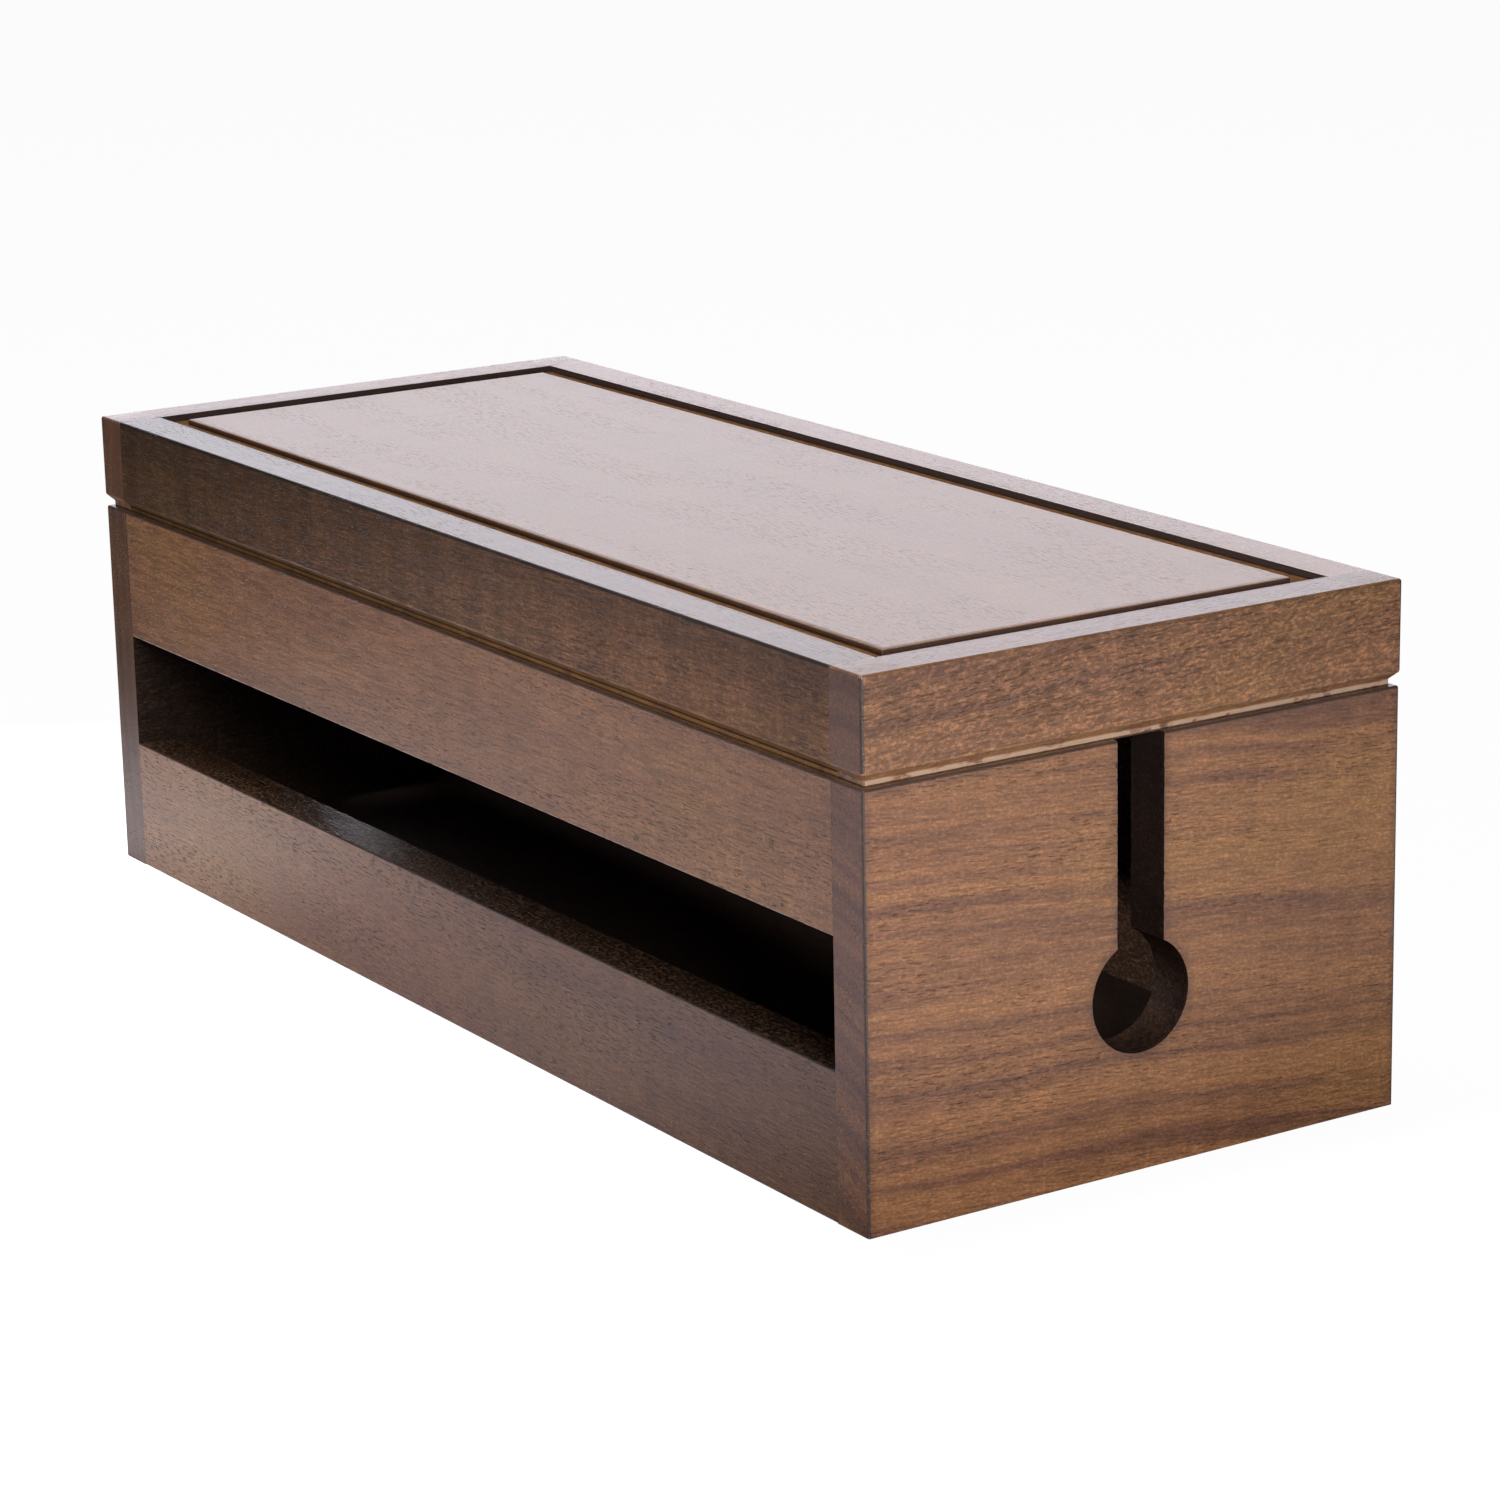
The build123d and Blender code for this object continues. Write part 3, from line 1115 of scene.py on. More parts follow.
@dataclass
class Body(Joinery):
    """Open body: two keyhole ends, two front rails, a back board and a floor in a groove."""

    length: float = 400 * MM
    depth: float = 160 * MM
    height: float = 109 * MM
    rail: float = 38 * MM
    slot: float = 14 * MM
    eye: float = 29 * MM
    eye_height: float = 44.5 * MM
    eye_steps: int = 72
    saw_steps: int = 64
    saw_spread: float = 0.035 * MM
    splinter_reach: Span = (0.7 * MM, 0.45 * MM)
    splinter_sizes: Span = (0.1 * MM, 0.32 * MM)
    splinter_slant: float = 0.7
    splinter_share: float = 0.14
    whole_top: float = 2 * MM
    floor: Span = (6 * MM, 11 * MM)
    arris: float = 0.6 * MM
    foot: float = 0.4 * MM
    mouth: float = 0.4 * MM
    joint: float = 0.12 * MM
    body: str = "body"
    rng: random.Random = field(default_factory=lambda: random.Random(SAW_SEED))

    def keyhole_outline(self, work: Workpiece, at_x: float) -> Facet:
        """Draw the outline of an end board, with its keyhole, and fill it.

        Args:
            work: The board on the bench.
            at_x: Where the outline lies along the box.

        Returns:
            The filled face.
        """
        mesh = work.mesh
        lip = self.slot / 2
        radius = self.eye / 2
        neck = self.eye_height + math.sqrt(radius**2 - lip**2)
        start = mesh.verts.new((at_x, lip, neck))
        sweep = 2 * math.pi - 2 * math.asin(lip / radius)
        round_eye = bmesh.ops.spin(
            mesh,
            geom=[start],
            cent=(at_x, 0.0, self.eye_height),
            axis=(1.0, 0.0, 0.0),
            angle=-sweep,
            steps=self.eye_steps,
            use_merge=False,
        )
        end = next(v for v in round_eye["geom_last"] if isinstance(v, bmesh.types.BMVert))
        places = (
            (-lip, self.height),
            (-self.half_depth, self.height),
            (-self.half_depth, 0.0),
            (self.half_depth, 0.0),
            (self.half_depth, self.height),
            (lip, self.height),
        )
        chain = [end, *(mesh.verts.new((at_x, y, z)) for y, z in places), start]
        edges = [mesh.edges.new(pair) for pair in zip(chain, chain[1:])]
        self.saw(work, [edges[0], edges[-1]])
        filled = bmesh.ops.contextual_create(mesh, geom=mesh.edges[:])
        return filled["faces"][0]

    def saw(self, work: Workpiece, edges: list[Edge]) -> None:
        """Make the sides of the slot as uneven as a saw leaves them.

        Args:
            work: The board on the bench.
            edges: The two sides of the slot.
        """
        parted = bmesh.ops.subdivide_edges(work.mesh, edges=edges, cuts=self.saw_steps)
        for item in parted["geom_inner"]:
            if isinstance(item, bmesh.types.BMVert):
                item.co.y += self.rng.gauss(0.0, self.saw_spread)

    def end_board(self, end: End, cut: Cut) -> bpy.types.Object:
        """Make one end board.

        Args:
            end: Which end of the box.
            cut: Where the board was cut from its log.

        Returns:
            The piece.
        """
        inner, outer = end * (self.half - self.board), end * self.half
        work = Workpiece(f"{end.name.lower()}_end_board", cut)
        work.raised(self.keyhole_outline(work, inner), Vector((outer - inner, 0.0, 0.0)))
        work.settle()
        front, back = centred(self.half_depth)
        outside = work.edges_at(x=outer, y=front) + work.edges_at(x=outer, y=back)
        outside += [
            edge
            for edge in work.edges_at(z=self.height)
            if not lies_at(edge, Axis.X, inner) and not self.across_slot(edge)
        ]
        work.soften(outside, self.arris, Rounding.FINEST)
        work.soften(work.edges_at(x=outer, z=0.0), self.foot, Rounding.PLAIN)
        rim = [edge for edge in work.edges_at(x=outer) if self.round_keyhole(edge)]
        work.soften(rim, self.mouth, Rounding.PLAIN, Wear.SOAKED_AND_SHADED)
        self.chip(work, end)
        work.soften(work.edges_at(x=inner, y=front), self.joint, Rounding.BEVEL)
        reach = centred(self.half_depth - self.board + self.groove)
        work.groove(inner, reach, self.floor, end * self.groove)
        self.shade_hollows_matt(work)
        return work.finish(self.body, WALNUT, SAWN_SHADE_WALNUT)

    def shade_hollows_matt(self, work: Workpiece) -> None:
        """Give the matt finish, made darker as painted shade, to what faces into the box or into an
        opening.

        Args:
            work: The board on the bench.
        """
        for face in work.mesh.faces:
            x, y, z = (abs(value) for value in face.calc_center_median())
            hollow = x < self.half - self.board + NEAR and y < self.half_depth - self.mouth
            keyhole = x < self.half - self.mouth and y < self.eye / 2 and z > self.rail / 2
            if (hollow or keyhole) and NEAR < z < self.height - NEAR:
                face.material_index = BodyCoat.MATT

    def across_slot(self, edge: Edge) -> bool:
        """Whether an edge is one of the two short ones at the mouth of the slot."""
        return all(abs(abs(vert.co.y) - self.slot / 2) < NEAR for vert in edge.verts)

    def round_keyhole(self, edge: Edge) -> bool:
        """Whether an edge of the outer face belongs to the keyhole."""
        return all(
            abs(vert.co.y) < self.eye / 2 + NEAR and vert.co.z > self.eye_height - self.eye
            for vert in edge.verts
        ) and not all(vert.co.z > self.height - 2 * NEAR for vert in edge.verts)

    def chip(self, work: Workpiece, end: End) -> None:
        """Break a few splinters out of the slot's rim.

        Args:
            work: The board on the bench.
            end: Which end of the box it is for.
        """
        aside, deep = self.splinter_reach
        low, high = self.eye_height + self.eye / 2, self.height - self.whole_top
        for vert in work.mesh.verts:
            near_slot = abs(abs(vert.co.y) - self.slot / 2) < aside
            near_face = self.half - end * vert.co.x < deep
            on_rim = near_slot and near_face and low < vert.co.z < high
            if on_rim and self.rng.random() < self.splinter_share:
                size = self.rng.uniform(*self.splinter_sizes)
                vert.co.x -= end * size * self.splinter_slant
                vert.co.y += math.copysign(size, vert.co.y)

    def long_board(self, face: Face, node: str, height: Span, cut: Cut) -> bpy.types.Object:
        """Make a board that runs between the end boards.

        Args:
            face: Which long side of the body.
            node: The solid that it stands for.
            height: Its lower and upper edge.
            cut: Where it was cut from its log.

        Returns:
            The piece.
        """
        outer, inner = face * self.half_depth, face * (self.half_depth - self.board)
        bottom, top = height
        outline = [(outer, bottom), (outer, top), (inner, top)]
        if bottom < self.floor[0]:
            deep = inner + face * self.groove
            low, high = self.floor
            outline += [(inner, high), (deep, high), (deep, low), (inner, low)]
        outline.append((inner, bottom))
        work = Workpiece(node, cut)
        run = centred(self.half - self.board)
        work.moulding(outline, run)
        under_lid = top > self.height - NEAR
        rim = work.edges_at(y=outer, z=top)
        work.soften(rim, self.arris if under_lid else self.mouth, Rounding.FINEST)
        # Painted highlight: the outer bottom edge made pale, as if it caught the light.
        work.soften(work.edges_at(y=outer, z=bottom), self.foot, Rounding.PLAIN, Wear.PAINTED_HIGHLIGHT)
        inside = work.edges_at(y=inner, z=top) + work.edges_at(y=inner, z=bottom)
        work.soften(inside, INNER_ARRIS, Rounding.COARSE)
        joints = [edge for x in run for edge in work.edges_at(x=x, y=outer)]
        work.soften(joints, self.joint, Rounding.BEVEL)
        self.shade_hollows_matt(work)
        # The lower rail's top gets the sill finish: painted shade with painted glints.
        for facet in work.mesh.faces:
            if not under_lid and facet.calc_center_median().z > top - NEAR:
                facet.material_index = BodyCoat.SILL
        return work.finish(self.body, RAIL_WALNUT, MATT_SHADE_WALNUT, SHADED_SILL_WALNUT)

    def floor_panel(self, cut: Cut) -> bpy.types.Object:
        """Make the floor, with its edges in the grooves.

        Args:
            cut: Where it was cut from its log.

        Returns:
            The piece.
        """
        work = Workpiece("floor_panel", cut)
        work.stack([Level(*self.in_grooves, z) for z in self.floor])
        work.soften(work.mesh.edges[:], INNER_ARRIS, Rounding.COARSE)
        return work.finish(self.body, FLOOR_WALNUT)

    def build(self) -> list[bpy.types.Object]:
        """Make all boards of the body.

        Returns:
            The pieces.
        """
        slot_low, slot_high = self.rail, self.height - self.rail
        # Painted light and shade: the lower rail darker towards its right end, where less light
        # reaches it; the upper rail darker towards both ends; the right end board paler at its
        # front, nearer the right lamp.
        painted_shade_right = (PaintedShade(Axis.X, (-0.15, 0.17), (0.95, 0.5)),)
        painted_shade_ends = (
            PaintedShade(Axis.X, (-0.2, -0.02), (0.85, 1.03)),
            PaintedShade(Axis.X, (0.0, 0.17), (1.0, 0.92)),
        )
        painted_light_front = (PaintedShade(Axis.Y, (-0.06, 0.06), (1.03, 0.84)),)
        sizes = self.slot / 2, self.eye / 2, self.eye_height, self.half_depth, self.height
        upright = Cut(Grain.ACROSS, (0.0, 0.0, 0.0), figure=1.0, outline=Outline(*sizes, self.half))
        left = replace(upright, log=(1.37, 0.42, -0.09), tilt=2.0, tone=0.7)
        right = replace(upright, log=(0.31, 0.16, 0.052), tilt=-5.0, painted_shades=painted_light_front)
        upper = Cut(Grain.ALONG, (0.62, 0.21, -0.13), 0.8, painted_shades=painted_shade_ends)
        lower = Cut(Grain.ALONG, (2.05, 0.3, 0.11), -0.6, painted_shades=painted_shade_right)
        back = Cut(Grain.ALONG, (3.3, -0.25, 0.07), 0.5)
        return [
            self.end_board(End.LEFT, left),
            self.end_board(End.RIGHT, right),
            self.long_board(Face.FRONT, "lower_front_rail", (0.0, slot_low), lower),
            self.long_board(Face.FRONT, "upper_front_rail", (slot_high, self.height), upper),
            self.long_board(Face.BACK, "back_board", (0.0, self.height), back),
            self.floor_panel(Cut(Grain.ALONG, (4.7, 0.1, 0.2))),
        ]


@dataclass(frozen=True)
class FootWear:
    """How far the stain is rubbed off the foot of a lid frame board, and the line painted in its
    hollow.

    Attributes:
        shoulder: On the rounding above the chamfer.
        chamfer: On the chamfer.
        corner: On the hollow between the chamfer and the neck, where a share below 0 paints shade
            and a share above 1 paints a highlight.
        neck: On the neck.
        coat: The chamfer's finish.
    """

    shoulder: float
    chamfer: float
    corner: float
    neck: float
    coat: LidCoat


@dataclass
class Lid(Joinery):
    """Lift-off lid: a frame with a chamfered foot round a raised panel, and two battens."""

    length: float = 400.6 * MM
    depth: float = 160.6 * MM
    bottom: float = 109 * MM
    # Below this height the neck is painted dark: painted shade in the gap between lid and body.
    shade: float = 109.45 * MM
    neck: float = 110.6 * MM
    shoulder: float = 112.6 * MM
    top: float = 136 * MM
    inset: float = 2 * MM
    arris: float = 0.75 * MM
    shoulder_arris: float = 0.35 * MM
    rim: float = 0.5 * MM
    fall: Span = (1.8 * MM, 0.32 * MM)
    brow: float = 0.85
    panel: Span = (128.8 * MM, 135.7 * MM)
    tongue: float = 134 * MM
    channel: float = 6.3 * MM
    field_fall: Span = (1.2 * MM, 0.21 * MM)
    field_arris: float = 0.35 * MM
    joint: float = 0.1 * MM
    batten_length: float = 340 * MM
    batten_heights: Triple = (104 * MM, 109.5 * MM, 124 * MM)
    batten_faces: Triple = (59.3 * MM, 66.5 * MM, 67.3 * MM)
    batten_arris: float = 0.5 * MM
    # The ends get a painted highlight in the hollow above the neck, the rails a painted shade line
    # there.
    end_wear: FootWear = FootWear(
        Wear.GRAZED, Wear.GRAZED, Wear.PAINTED_HIGHLIGHT, Wear.STRIPPED, LidCoat.FACE
    )
    rail_wear: FootWear = FootWear(Wear.RUBBED, Wear.BARE, Wear.SOAKED_AND_SHADED, Wear.BARE, LidCoat.FOOT)
    body: str = "lid"

    def end(self, end: End, cut: Cut) -> bpy.types.Object:
        """Make one short board of the frame.

        Args:
            end: Which end of the box.
            cut: Where the board was cut from its log.

        Returns:
            The piece.
        """
        inner = self.half - self.board
        inside = end * inner
        foot = beyond(end, inner, self.half - self.inset), centred(self.half_depth - self.inset)
        full = beyond(end, inner, self.half), centred(self.half_depth)
        levels = [Level(*foot, z) for z in (self.bottom, self.shade, self.neck)]
        levels += [Level(*full, z) for z in (self.shoulder, self.top)]
        work = Workpiece(f"{end.name.lower()}_lid_end", cut)
        work.stack(levels)
        outer = [edge for edge in work.mesh.edges if not lies_at(edge, Axis.X, inside)]
        corners = [edge for edge in outer if self.climbs(edge)]
        crown = [edge for edge in outer if lies_at(edge, Axis.Z, self.top)]
        work.soften(corners + crown, self.arris, Rounding.FINEST, Wear.TINGED)
        self.darken_corners(work)
        work.true_up(self.neck)
        work.true_up(self.shoulder)
        shoulder = [
            edge for edge in work.edges_at(z=self.shoulder) if not lies_at(edge, Axis.X, inside)
        ]
        work.soften(shoulder, self.shoulder_arris, Rounding.COARSE, self.end_wear.shoulder)
        self.soften_rim(work, inside)
        reach = centred(self.half_depth - self.board + self.groove)
        work.groove(inside, reach, (self.panel[0], self.tongue), end * self.groove)
        self.age(work, self.end_wear)
        end_grain = [face for face in work.mesh.faces if abs(face.normal.y) > PARTLY]
        low = [face for face in end_grain if face.calc_center_median().z < self.shoulder]
        work.note(low, work.wear_and_painted_light, Wear.FADED)
        self.part_finishes(work, Vector((end, 0.0, 0.0)), self.end_wear.coat)
        return work.finish(self.body, LID_WALNUT, LID_END_WALNUT, END_FOOT_WALNUT, MATT_SHADE_WALNUT)

    def darken_corners(self, work: Workpiece) -> None:
        """Let the stain gather on the upright corners.

        Args:
            work: The board on the bench.
        """
        work.mesh.normal_update()
        for face in work.mesh.faces:
            x, y, _ = (abs(value) for value in face.calc_center_median())
            corner = x > self.half - self.arris and y > self.half_depth - self.arris
            if corner and abs(face.normal.z) < HARDLY:
                work.note([face], work.wear_and_painted_light, Wear.GATHERED)

    def age(self, work: Workpiece, wear: FootWear) -> None:
        """Rub the stain off the foot, paint shade on the walls that face into the channel, and
        paint a line in the hollow above the neck: shade on the rails, a highlight on the ends.

        Args:
            work: The board on the bench.
            wear: How far the stain is rubbed off the foot.
        """
        work.rub((self.neck, self.shoulder), wear.chamfer)
        work.rub((self.bottom, self.neck), wear.neck)
        # Painted shade on the walls that face into the channel.
        work.rub((self.tongue, self.top), Wear.SOAKED_AND_SHADED, outer=False)
        # The hollow above the neck gets a painted line: painted shade on the rails, a painted
        # highlight on the ends.
        bent = [edge for edge in work.edges_at(z=self.neck) if edge.calc_face_angle(0.0) > BEND]
        work.soften(bent, INNER_ARRIS, Rounding.COARSE, wear.corner)

    def part_finishes(self, work: Workpiece, outwards: Vector, chamfer: LidCoat) -> None:
        """Choose a finish for each face of a frame board: rim, outer face, foot, or the dark matt
        finish that paints shade on the channel's walls and at the bottom of the neck.

        Args:
            work: The board on the bench.
            outwards: Direction that the board's outer face looks.
            chamfer: The chamfer's finish.
        """
        work.mesh.normal_update()
        for face in work.mesh.faces:
            height, out = face.calc_center_median().z, face.normal.dot(outwards)
            # Below the shade line the neck gets the dark matt finish: painted shade under the lid.
            if height < self.shade:
                face.material_index = LidCoat.MATT
            elif height < self.neck:
                face.material_index = LidCoat.FOOT
            elif height < self.shoulder:
                face.material_index = chamfer
            elif out > MOSTLY:
                face.material_index = LidCoat.FACE
            # The walls that face into the channel get the dark matt finish as painted shade.
            elif out < -MOSTLY and height > self.tongue:
                face.material_index = LidCoat.MATT

    @staticmethod
    def climbs(edge: Edge) -> bool:
        """Whether an edge leads upwards."""
        first, second = edge.verts
        return abs(first.co.z - second.co.z) > NEAR

    def soften_rim(self, work: Workpiece, inside: float) -> None:
        """Round the inner top edge of a short board, between the two rails.

        Args:
            work: The board on the bench.
            inside: Where its inner face lies.
        """
        stop = self.half_depth - self.board
        for y in centred(stop):
            edges = work.edges_at(x=inside, z=self.top)
            faces = [face for edge in edges for face in edge.link_faces]
            work.divide(faces, (inside, y, self.top), (0.0, 1.0, 0.0))
        reach, drop = self.fall
        fall = math.copysign(reach, inside), drop
        lip = work.ease(Axis.X, inside, fall, self.top, centred(stop - self.rim), self.brow)
        rim = [edge for edge in lip if all(abs(vert.co.y) < stop + NEAR for vert in edge.verts)]
        work.soften(rim, self.rim, Rounding.PLAIN, Wear.RUBBED)
        work.level_off(self.top)

    def rail(self, face: Face, cut: Cut) -> bpy.types.Object:
        """Make one long board of the frame, between the short ones.

        Args:
            face: Which long side of the box.
            cut: Where the board was cut from its log.

        Returns:
            The piece.
        """
        outer, inner = face * self.half_depth, face * (self.half_depth - self.board)
        foot, deep = outer - face * self.inset, inner + face * self.groove
        run = centred(self.half - self.board)
        work = Workpiece(f"{face.name.lower()}_lid_rail", cut)
        work.moulding(
            [
                (foot, self.bottom),
                (foot, self.shade),
                (foot, self.neck),
                (outer, self.shoulder),
                (outer, self.top),
                (inner, self.top),
                (inner, self.tongue),
                (deep, self.tongue),
                (deep, self.panel[0]),
                (inner, self.panel[0]),
                (inner, self.bottom),
            ],
            run,
        )
        work.soften(work.edges_at(y=outer, z=self.top), self.arris, Rounding.FINEST)
        shoulder = work.edges_at(y=outer, z=self.shoulder)
        work.soften(shoulder, self.shoulder_arris, Rounding.COARSE, self.rail_wear.shoulder)
        reach, drop = self.fall
        eased = centred(run[1] - self.rim)
        lip = work.ease(Axis.Y, inner, (face * reach, drop), self.top, eased, self.brow)
        work.soften(lip, self.rim, Rounding.PLAIN, Wear.RUBBED)
        work.level_off(self.top)
        work.soften(work.edges_at(y=inner, z=self.bottom), INNER_ARRIS, Rounding.COARSE)
        joints = [edge for x in run for edge in work.edges_at(x=x, y=outer)]
        work.soften(joints, self.joint, Rounding.BEVEL)
        self.age(work, self.rail_wear)
        self.part_finishes(work, Vector((0.0, face, 0.0)), self.rail_wear.coat)
        return work.finish(self.body, LID_WALNUT, LID_FACE_WALNUT, RAIL_FOOT_WALNUT, MATT_SHADE_WALNUT)

    def raised_panel(self, cut: Cut) -> bpy.types.Object:
        """Make the panel: a tongue all round and a field that stands above it.

        Args:
            cut: Where the panel was cut from its log.

        Returns:
            The piece.
        """
        border = self.board + self.channel
        across = self.half - border, self.half_depth - border
        low, high = self.panel
        reach, drop = self.field_fall
        lip = high - drop
        steps = ((0.0, self.tongue), (0.0, lip), (self.brow, high - (1.0 - self.brow) * drop))
        levels = [Level(*self.in_grooves, z) for z in (low, self.tongue)]
        levels += [
            Level(*(centred(half - share * reach) for half in across), z)
            for share, z in (*steps, (1.0, high))
        ]
        work = Workpiece("lid_panel", cut)
        work.stack(levels)
        corners = [
            edge
            for x in centred(across[0])
            for y in centred(across[1])
            for edge in work.edges_at(x=x, y=y)
        ]
        work.soften(corners + work.edges_at(z=lip), self.field_arris, Rounding.FINE, Wear.HANDLED)
        # Painted shade on the field's sides, down in the channel.
        work.rub((self.tongue, lip), Wear.CHANNEL_SHADE)
        # Faces down in the channel get the darker matt finish, partly painted shade.
        for face in work.mesh.faces:
            face.material_index = int(face.calc_center_median().z < lip - self.field_arris / 2)
        return work.finish(self.body, PANEL_WALNUT, CHANNEL_WALNUT)

    def batten(self, face: Face, cut: Cut) -> bpy.types.Object:
        """Make a batten, thinner where it drops into the body.

        Args:
            face: Which long side of the box.
            cut: Where the batten was cut from its log.

        Returns:
            The piece.
        """
        inner, thin, glued = (face * y for y in self.batten_faces)
        low, step, high = self.batten_heights
        work = Workpiece(f"{face.name.lower()}_locating_batten", cut)
        work.moulding(
            [(inner, low), (thin, low), (thin, step), (glued, step), (glued, high), (inner, high)],
            centred(self.batten_length / 2),
        )
        shown = work.edges_at(z=low) + work.edges_at(y=inner)
        work.soften(shown, self.batten_arris, Rounding.PLAIN)
        return work.finish(self.body, BATTEN_WALNUT)

    def build(self) -> list[bpy.types.Object]:
        """Make all boards of the lid.

        Returns:
            The pieces.
        """
        # Painted light and shade: the front rail much deeper towards its left end and towards its
        # top edge, the right end board deeper towards the back.
        painted_shade_lid_front = (
            PaintedShade(Axis.X, (-0.19, 0.12), (0.42, 1.05)),
            PaintedShade(Axis.Z, (0.116, 0.136), (1.12, 0.75)),
        )
        painted_shade_back = (PaintedShade(Axis.Y, (-0.06, 0.06), (0.84, 0.71)),)
        left = Cut(Grain.ACROSS, (6.2, 0.37, -0.05), tone=0.9, figure=0.9)
        right = Cut(Grain.ACROSS, (7.4, 0.19, -0.11), 3.0, figure=0.9, painted_shades=painted_shade_back)
        front = Cut(Grain.ALONG, (5.1, 0.24, -0.16), 0.6, tone=0.6, curl=0.16, painted_shades=painted_shade_lid_front)
        return [
            self.end(End.LEFT, left),
            self.end(End.RIGHT, right),
            self.rail(Face.FRONT, front),
            self.rail(Face.BACK, Cut(Grain.ALONG, (8.3, -0.2, -0.12), tone=0.9)),
            self.raised_panel(Cut(Grain.ALONG, (9.1, 0.06, -0.29), swing=0.3)),
            self.batten(Face.FRONT, Cut(Grain.ALONG, (10.2, 0.22, 0.1))),
            self.batten(Face.BACK, Cut(Grain.ALONG, (11.6, -0.18, 0.12))),
        ]


@dataclass
class Dowels:
    """Blind dowels in the corner joints of the body and of the lid."""

    nodes: tuple[str, ...] = (
        "left_body_dowels",
        "right_body_dowels",
        "left_lid_dowels",
        "right_lid_dowels",
    )
    beech: PlainBeech = PlainBeech()

    def dress(self) -> None:
        """Give every dowel its bare beech."""
        material = self.beech.material()
        for name in self.nodes:
            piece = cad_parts[name]
            piece.data.materials.clear()
            piece.data.materials.append(material)
            LOG.info("%s: dressed in %s", name, self.beech.name)


# --- The studio -------------------------------------------------------------------------------


@dataclass(frozen=True)
class Lamp:
    """A soft lamp that looks at a place on the box."""

    name: str
    place: Triple
    aim: Triple
    size: Span
    power: float

    def hang(self) -> None:
        """Hang the lamp."""
        light = bpy.data.lights.new(self.name, "AREA")
        light.shape = "RECTANGLE"
        light.size, light.size_y = self.size
        light.energy = self.power
        lamp = placed(self.name, light)
        lamp.location = self.place
        lamp.rotation_mode = "QUATERNION"
        look = Vector(self.aim) - Vector(self.place)
        lamp.rotation_quaternion = look.to_track_quat("-Z", "Y")


@dataclass(frozen=True)
class PaintedLightPool:
    """A painted pool of light on the floor: a round pale place that throws light up at the box and
    shows in its reflections.

    Attributes:
        place: Its middle.
        reach: How far it stays full, and where it has faded out.
        colour: Its colour.
    """

    place: Triple
    reach: Span
    colour: Triple


@dataclass(frozen=True)
class Fade:
    """A change of the surround's light from one direction to another.

    Attributes:
        span: Where it starts and ends, as a cosine or as the sine of the height.
        light: The light before it and after it.
    """

    span: Span
    light: Span


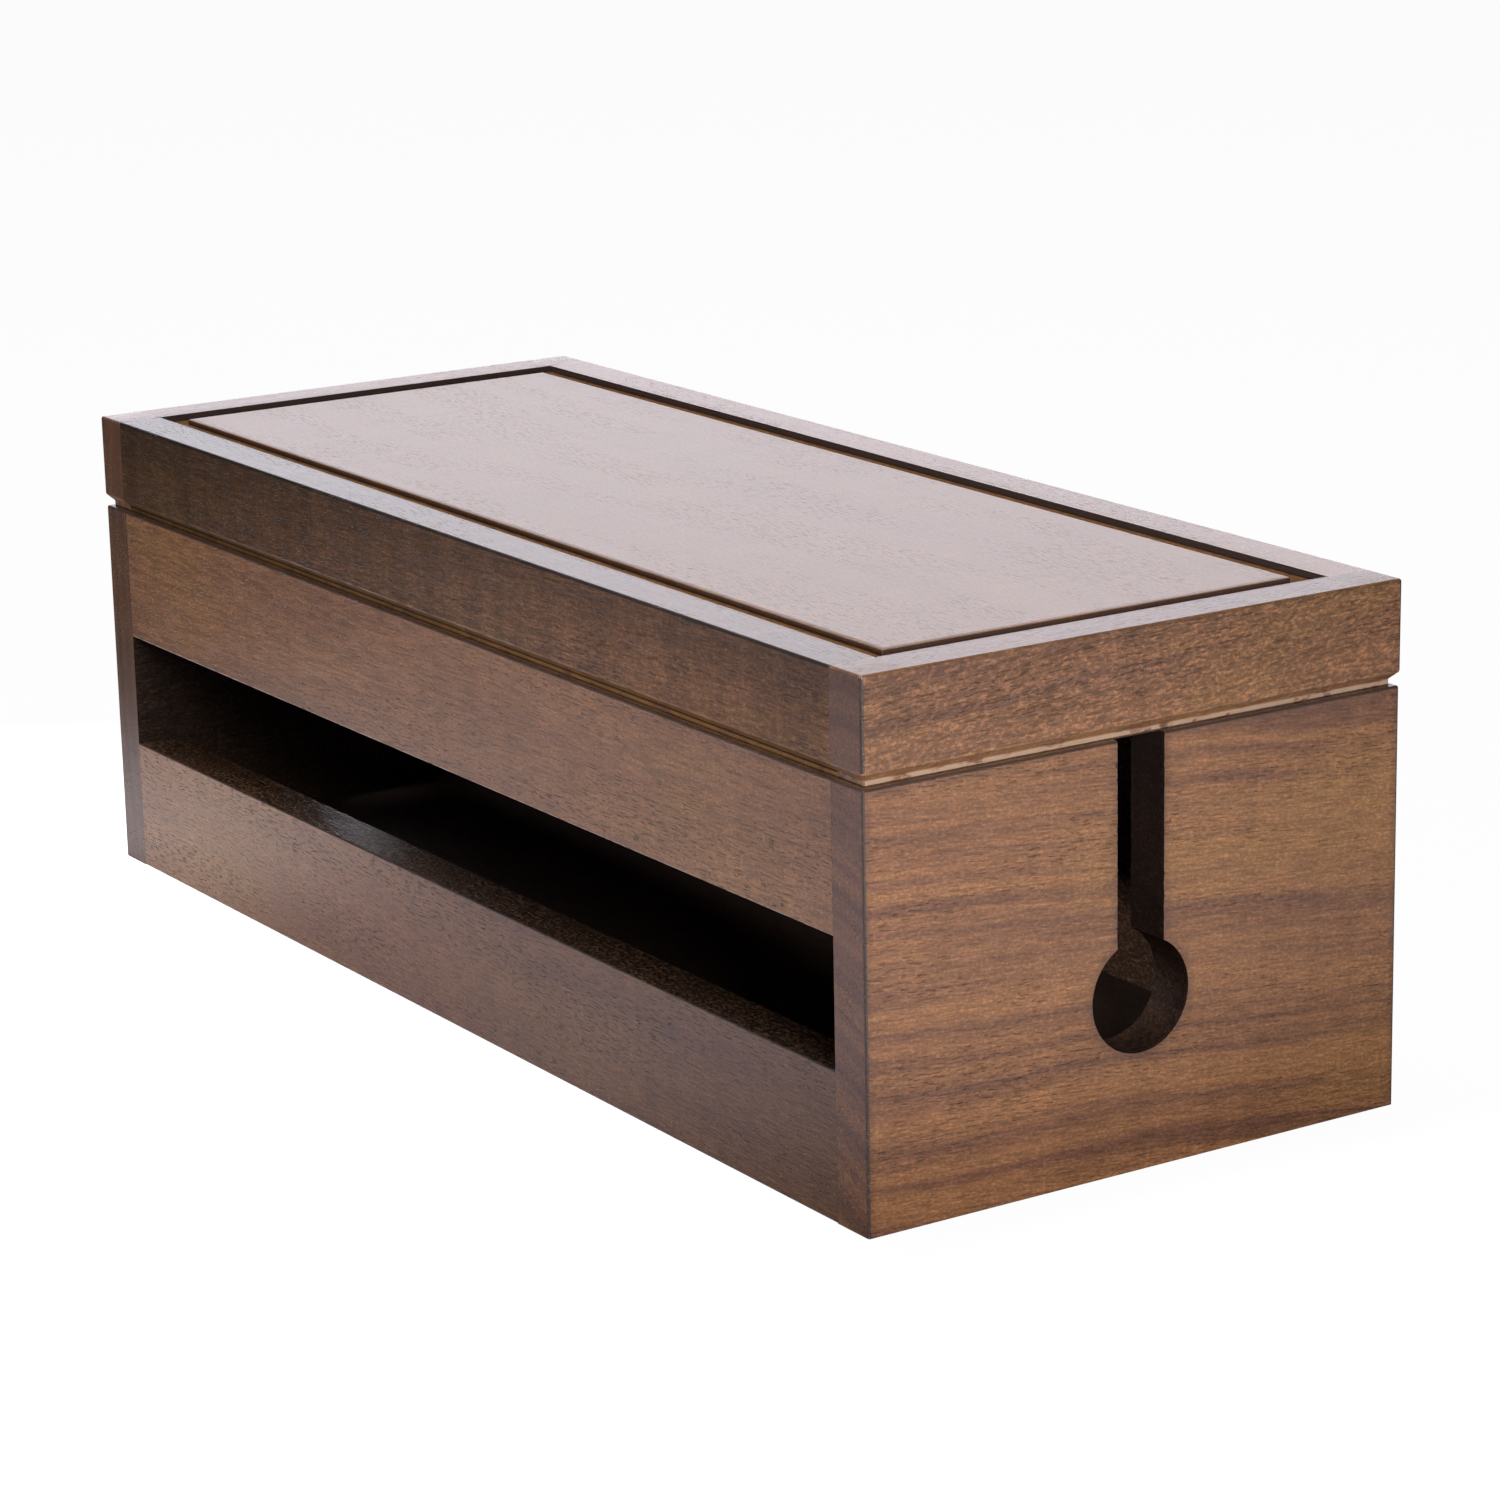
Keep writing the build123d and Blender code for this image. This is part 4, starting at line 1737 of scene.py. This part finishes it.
@dataclass
class Studio:
    """A floor that looks white but is a dark ground with painted pools of light, a white surround,
    soft lamps and the camera.
    """

    reach: float = 8.0
    # The floor's own dark ground: painted shade round the box, seen in its reflections and bounce
    # light; the camera sees the floor white.
    floor: Triple = (0.035, 0.035, 0.038)
    light_pools: tuple[PaintedLightPool, ...] = (
        PaintedLightPool((-0.08, -0.2, 0.0), (0.15, 0.33), (0.38, 0.4, 0.5)),
        PaintedLightPool((-0.235, -0.1, 0.0), (0.05, 0.15), (0.9, 0.9, 0.95)),
        PaintedLightPool((0.7, 0.0, 0.0), (0.38, 0.5), (0.5, 0.5, 0.52)),
    )
    glow: float = 0.96
    behind: Triple = (-0.84, 0.54, 0.0)
    backdrop: Fade = Fade((0.8, 0.97), (0.03, 1.33))
    upwards: Fade = Fade((0.15, 0.75), (1.0, 0.6))
    horizon: Fade = Fade((0.02, 0.12), (2.4, 1.0))
    tint: Triple = (0.98, 0.97, 1.06)
    place: Triple = (1.02924, -0.64243, 0.38783)
    turn: Triple = (74.985, 1.1727, 56.991)
    lens: float = 109.545
    lamps: tuple[Lamp, ...] = (
        Lamp("right lamp", (0.95, -0.24, 0.36), (0.2, -0.03, 0.07), (0.36, 0.2), 6.9),
        Lamp("top lamp", (-0.3, 0.0, 1.7), (-0.1, 0.0, 0.1), (1.0, 1.0), 18.0),
        Lamp("front lamp", (-0.2, -1.45, 0.42), (-0.02, -0.08, 0.06), (0.6, 0.13), 9.0),
    )

    def lay_floor(self) -> None:
        """Lay the floor, which looks white and still takes the box's shadow; its own colour is a
        dark ground with painted pools of light, which the box mirrors and takes light from.
        """
        mesh = bmesh.new()
        bmesh.ops.create_grid(mesh, x_segments=1, y_segments=1, size=self.reach)
        data = bpy.data.meshes.new("studio floor")
        mesh.to_mesh(data)
        mesh.free()
        floor = placed("studio_floor", data)
        material = bpy.data.materials.new("pale floor")
        recipe = Recipe.of(material)
        rays = recipe.node("ShaderNodeLightPath", {}).outputs
        place = recipe.place()
        colour = self.floor
        # Painted pools of light on the dark ground.
        for light_pool in self.light_pools:
            distance = recipe.measure("DISTANCE", place, light_pool.place)
            share = recipe.window(distance, light_pool.reach, (1.0, 0.0))
            colour = recipe.blend(share, colour, light_pool.colour)
        matt = recipe.node("ShaderNodeBsdfDiffuse", {"Color": colour})
        way = recipe.vector("NORMALIZE", place)
        behind = recipe.measure("DOT_PRODUCT", way, self.behind)
        backdrop = recipe.window(behind, self.backdrop.span)
        mirrored = recipe.product(backdrop, rays["Is Glossy Ray"])
        seen = recipe.product(recipe.sum(mirrored, rays["Is Camera Ray"]), self.glow)
        glow = recipe.node("ShaderNodeEmission", {"Strength": seen})
        both = recipe.node("ShaderNodeAddShader", {0: matt.outputs[0], 1: glow.outputs[0]})
        recipe.node("ShaderNodeOutputMaterial", {"Surface": both.outputs[0]})
        data.materials.append(material)

    def light_sky(self) -> None:
        """Surround the box with soft light, brighter behind it than in front."""
        world = bpy.data.worlds.new("white surround")
        bpy.context.scene.world = world
        recipe = Recipe.of(world)
        camera = recipe.node("ShaderNodeLightPath", {}).outputs["Is Camera Ray"]
        way = recipe.node("ShaderNodeTexCoord", {}).outputs["Generated"]
        height = recipe.split(way)[Axis.Z]
        behind = recipe.measure("DOT_PRODUCT", way, self.behind)
        soft = recipe.window(behind, self.backdrop.span, self.backdrop.light)
        for fade in (self.upwards, self.horizon):
            soft = recipe.product(soft, recipe.window(height, fade.span, fade.light))
        inputs = {0: camera, 2: soft, 3: 1.0}
        strength = recipe.node("ShaderNodeMix", inputs, data_type="FLOAT").outputs[0]
        tint = recipe.blend(camera, self.tint, (1.0, 1.0, 1.0))
        sky = recipe.node("ShaderNodeBackground", {"Color": tint, "Strength": strength})
        recipe.node("ShaderNodeOutputWorld", {"Surface": sky.outputs[0]})

    def set_camera(self) -> None:
        """Set up the camera."""
        data = bpy.data.cameras.new("camera")
        data.lens = self.lens
        data.sensor_width = 36.0
        data.clip_start, data.clip_end = 0.05, 50.0
        camera = placed("camera", data)
        camera.location = self.place
        camera.rotation_euler = tuple(math.radians(angle) for angle in self.turn)
        bpy.context.scene.camera = camera

    def build(self) -> None:
        """Set up the whole studio."""
        bpy.context.scene.view_settings.view_transform = "Standard"
        self.lay_floor()
        self.light_sky()
        for lamp in self.lamps:
            lamp.hang()
        self.set_camera()


def main() -> None:
    """Build the box and its studio."""
    logging.basicConfig(level=logging.INFO, format="%(message)s")
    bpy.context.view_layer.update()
    Studio().build()
    pieces = Body().build() + Lid().build()
    Dowels().dress()
    LOG.info("%d boards made", len(pieces))


if __name__ == "__main__":
    main()
